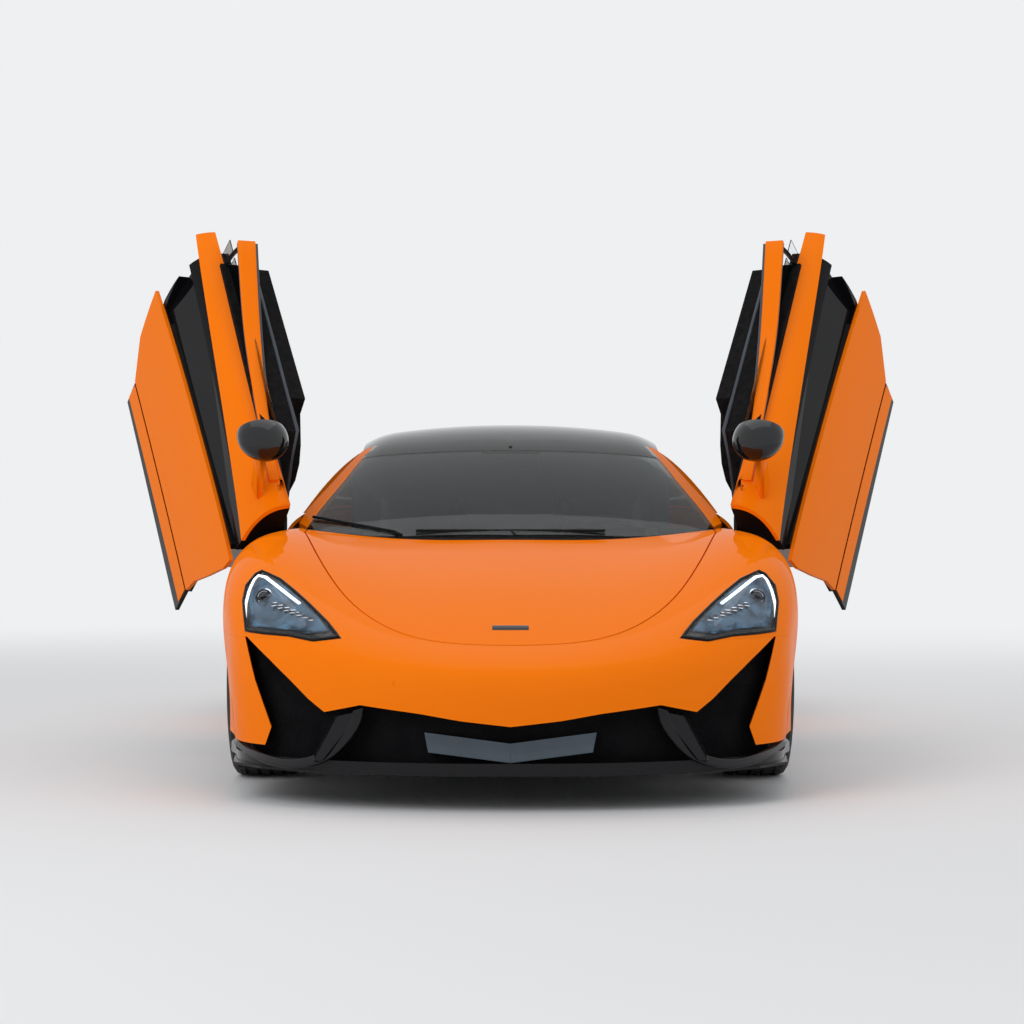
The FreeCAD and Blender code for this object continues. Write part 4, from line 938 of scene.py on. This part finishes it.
print("doors dressed")


# cabin: seat pads in side view as (y, z), and the centre screen
seat = {
    "centreX": 0.361, "padFill": 0.75, "swell": 0.010, "squabHalf": 0.155, "backHalf": 0.165,
    "voxel": 0.010, "clothFrames": 12,
    "squab": [(-0.155, 0.335), (0.255, 0.300), (0.300, 0.345), (0.245, 0.385), (-0.150, 0.420)],
    "back": [(0.300, 0.360), (0.400, 0.480), (0.560, 0.900), (0.530, 0.945), (0.480, 0.930), (0.350, 0.600),
             (0.262, 0.420)],
}


def softPad(name, outline, halfWidth, swell):
    # a block drawn in side view, rounded, then blown up a little as filled upholstery
    corners = [(seat["centreX"] - halfWidth, y, z) for y, z in outline]
    pad = drawPlate(name, corners, (2 * halfWidth, 0, 0))
    bevelEdges(pad, width=0.016, segments=3, angle=25)
    applyModifier(pad, "REMESH", mode="VOXEL", voxel_size=seat["voxel"])
    useOnly(pad)
    rest = [vertex.co.copy() for vertex in pad.data.vertices]
    cloth = pad.modifiers.new("Cloth", "CLOTH")
    cloth.settings.quality = 5
    cloth.settings.mass = 0.3
    cloth.settings.use_pressure = True
    cloth.settings.uniform_pressure_force = 4
    cloth.settings.effector_weights.gravity = 0
    cloth.settings.tension_stiffness = 40
    scene = bpy.context.scene
    for step in range(1, seat["clothFrames"] + 1):
        scene.frame_set(step)
    bpy.ops.object.modifier_apply(modifier=cloth.name)
    scene.frame_set(1)
    for vertex, before in zip(pad.data.vertices, rest):
        shift = vertex.co - before
        if shift.length > swell:
            vertex.co = before + shift.normalized() * swell
    applyModifier(pad, "SMOOTH", factor=0.5, iterations=4)
    return pad


def dressSeat(name, outline, halfWidth):
    pad = softPad(name, outline, halfWidth, seat["swell"])
    twin = mirrorCopy(pad, name + "_right")
    pad.name = name + "_left"
    for piece in (pad, twin):
        finish(piece, "body", "darkHide", angle=60)


dressSeat("seatSquab", seat["squab"], seat["squabHalf"])
dressSeat("seatBack", seat["back"], seat["backHalf"])

screenCorners = [(-0.075, -0.384, 0.655), (0.075, -0.384, 0.655), (0.075, -0.404, 0.765),
                 (-0.075, -0.404, 0.765)]
screen = drawPlate("centreScreen", [Vector(corner) for corner in screenCorners], (0, 0.012, 0.002))
insetFaces(screen, facesBack, thickness=0.006, depth=-0.002)
finish(screen, "body", "screenGlass", edge=0.002)
print("cabin dressed")


# tail: wire mesh laid on the tail panel
tail = {"mesh": {"columns": 88, "rows": 25, "place": (0, 2.6, 0.615), "size": (1.22, 0.35),
                 "backwards": False, "offset": 0.006, "wire": 0.0022},
        "meshFar": 2.45}
tailMesh = layNet("tailMesh", "tail_panel", tail["mesh"], lambda spot: spot.y > tail["meshFar"])
finish(tailMesh, "body", "satinBlack", angle=60)
print("tail dressed")


# stage, light and camera
def plainMaterial(name, colour, rough):
    material = bpy.data.materials.new(name)
    material.use_nodes = True
    tree = material.node_tree
    shader = tree.nodes["Principled BSDF"]
    shader.inputs["Base Color"].default_value = (*colour, 1)
    shader.inputs["Roughness"].default_value = rough
    return material


# a pale floor that fades with distance to the colour that the camera sees behind it
studio = {"floorColour": (0.80, 0.80, 0.80), "floorSize": 240, "floorRough": 0.8,
          "farColour": (0.86, 0.87, 0.88), "worldColour": (0.80, 0.82, 0.85), "worldStrength": 0.72,
          "fadeFrom": 3.5, "fadeTo": 9.0}
deselectAll()
bpy.ops.mesh.primitive_plane_add(size=studio["floorSize"], location=(0, 0, 0))
floor = bpy.context.object
floor.name = "studioFloor"
floorMaterial = plainMaterial("floorPale", studio["floorColour"], studio["floorRough"])
tree = floorMaterial.node_tree
place = tree.nodes.new("ShaderNodeTexCoord")
reach = tree.nodes.new("ShaderNodeVectorMath")
reach.operation = "LENGTH"
tree.links.new(place.outputs["Object"], reach.inputs[0])
fade = tree.nodes.new("ShaderNodeMapRange")
fade.interpolation_type = "SMOOTHSTEP"
fade.inputs["From Min"].default_value = studio["fadeFrom"]
fade.inputs["From Max"].default_value = studio["fadeTo"]
tree.links.new(reach.outputs["Value"], fade.inputs["Value"])
far = tree.nodes.new("ShaderNodeEmission")
far.inputs["Color"].default_value = (*studio["farColour"], 1)
blend = tree.nodes.new("ShaderNodeMixShader")
tree.links.new(fade.outputs["Result"], blend.inputs["Fac"])
tree.links.new(tree.nodes["Principled BSDF"].outputs["BSDF"], blend.inputs[1])
tree.links.new(far.outputs["Emission"], blend.inputs[2])
tree.links.new(blend.outputs["Shader"], tree.nodes["Material Output"].inputs["Surface"])
floor.data.materials.append(floorMaterial)

# the camera, mirrors and glass see the pale colour, all else is lit by the world's own
world = bpy.data.worlds.new("studioWorld")
bpy.context.scene.world = world
world.use_nodes = True
worldTree = world.node_tree
background = worldTree.nodes["Background"]
background.inputs["Color"].default_value = (*studio["worldColour"], 1)
background.inputs["Strength"].default_value = studio["worldStrength"]
seen = worldTree.nodes.new("ShaderNodeBackground")
seen.inputs["Color"].default_value = (*studio["farColour"], 1)
seen.inputs["Strength"].default_value = 1.0
path = worldTree.nodes.new("ShaderNodeLightPath")
choose = worldTree.nodes.new("ShaderNodeMixShader")
paleRays = path.outputs["Is Camera Ray"]
for rays in ("Is Glossy Ray", "Is Transmission Ray"):
    either = worldTree.nodes.new("ShaderNodeMath")
    either.operation = "MAXIMUM"
    worldTree.links.new(paleRays, either.inputs[0])
    worldTree.links.new(path.outputs[rays], either.inputs[1])
    paleRays = either.outputs["Value"]
worldTree.links.new(paleRays, choose.inputs["Fac"])
worldTree.links.new(background.outputs["Background"], choose.inputs[1])
worldTree.links.new(seen.outputs["Background"], choose.inputs[2])
worldTree.links.new(choose.outputs["Shader"], worldTree.nodes["World Output"].inputs["Surface"])

lights = {
    "keyLight": {"place": (-4.5, -6.5, 5.0), "target": (0, -0.6, 0.6), "size": 4.5, "power": 190},
    "fillLight": {"place": (6.0, -4.0, 4.0), "target": (0, 0, 0.5), "size": 4.0, "power": 45},
    "overLight": {"place": (0, 0.3, 6.5), "target": (0, 0, 0), "size": 6.0, "power": 70, "mirrored": True},
    "backLight": {"place": (2.0, 7.5, 4.5), "target": (0, 1.0, 0.6), "size": 4.5, "power": 90},
}
for name, made in lights.items():
    deselectAll()
    aim = (Vector(made["target"]) - Vector(made["place"])).to_track_quat("-Z", "Y").to_euler()
    bpy.ops.object.light_add(type="AREA", location=made["place"], rotation=aim)
    light = bpy.context.object
    light.name = name
    light.data.size = made["size"]
    light.data.energy = made["power"]
    light.visible_glossy = made.get("mirrored", False)

# the camera, solved from the photograph
view = {"place": (0, -10.165, 0.985), "pitchDown": 0.643, "turn": 0.032, "lens": 93.97, "sensor": 36,
        "reach": 300}
deselectAll()
aim = (math.radians(90 - view["pitchDown"]), 0, math.radians(-view["turn"]))
bpy.ops.object.camera_add(location=view["place"], rotation=aim)
camera = bpy.context.object
camera.name = "frontCamera"
camera.data.lens = view["lens"]
camera.data.sensor_width = view["sensor"]
camera.data.clip_end = view["reach"]
bpy.context.scene.camera = camera
bpy.context.scene.view_settings.view_transform = "Standard"
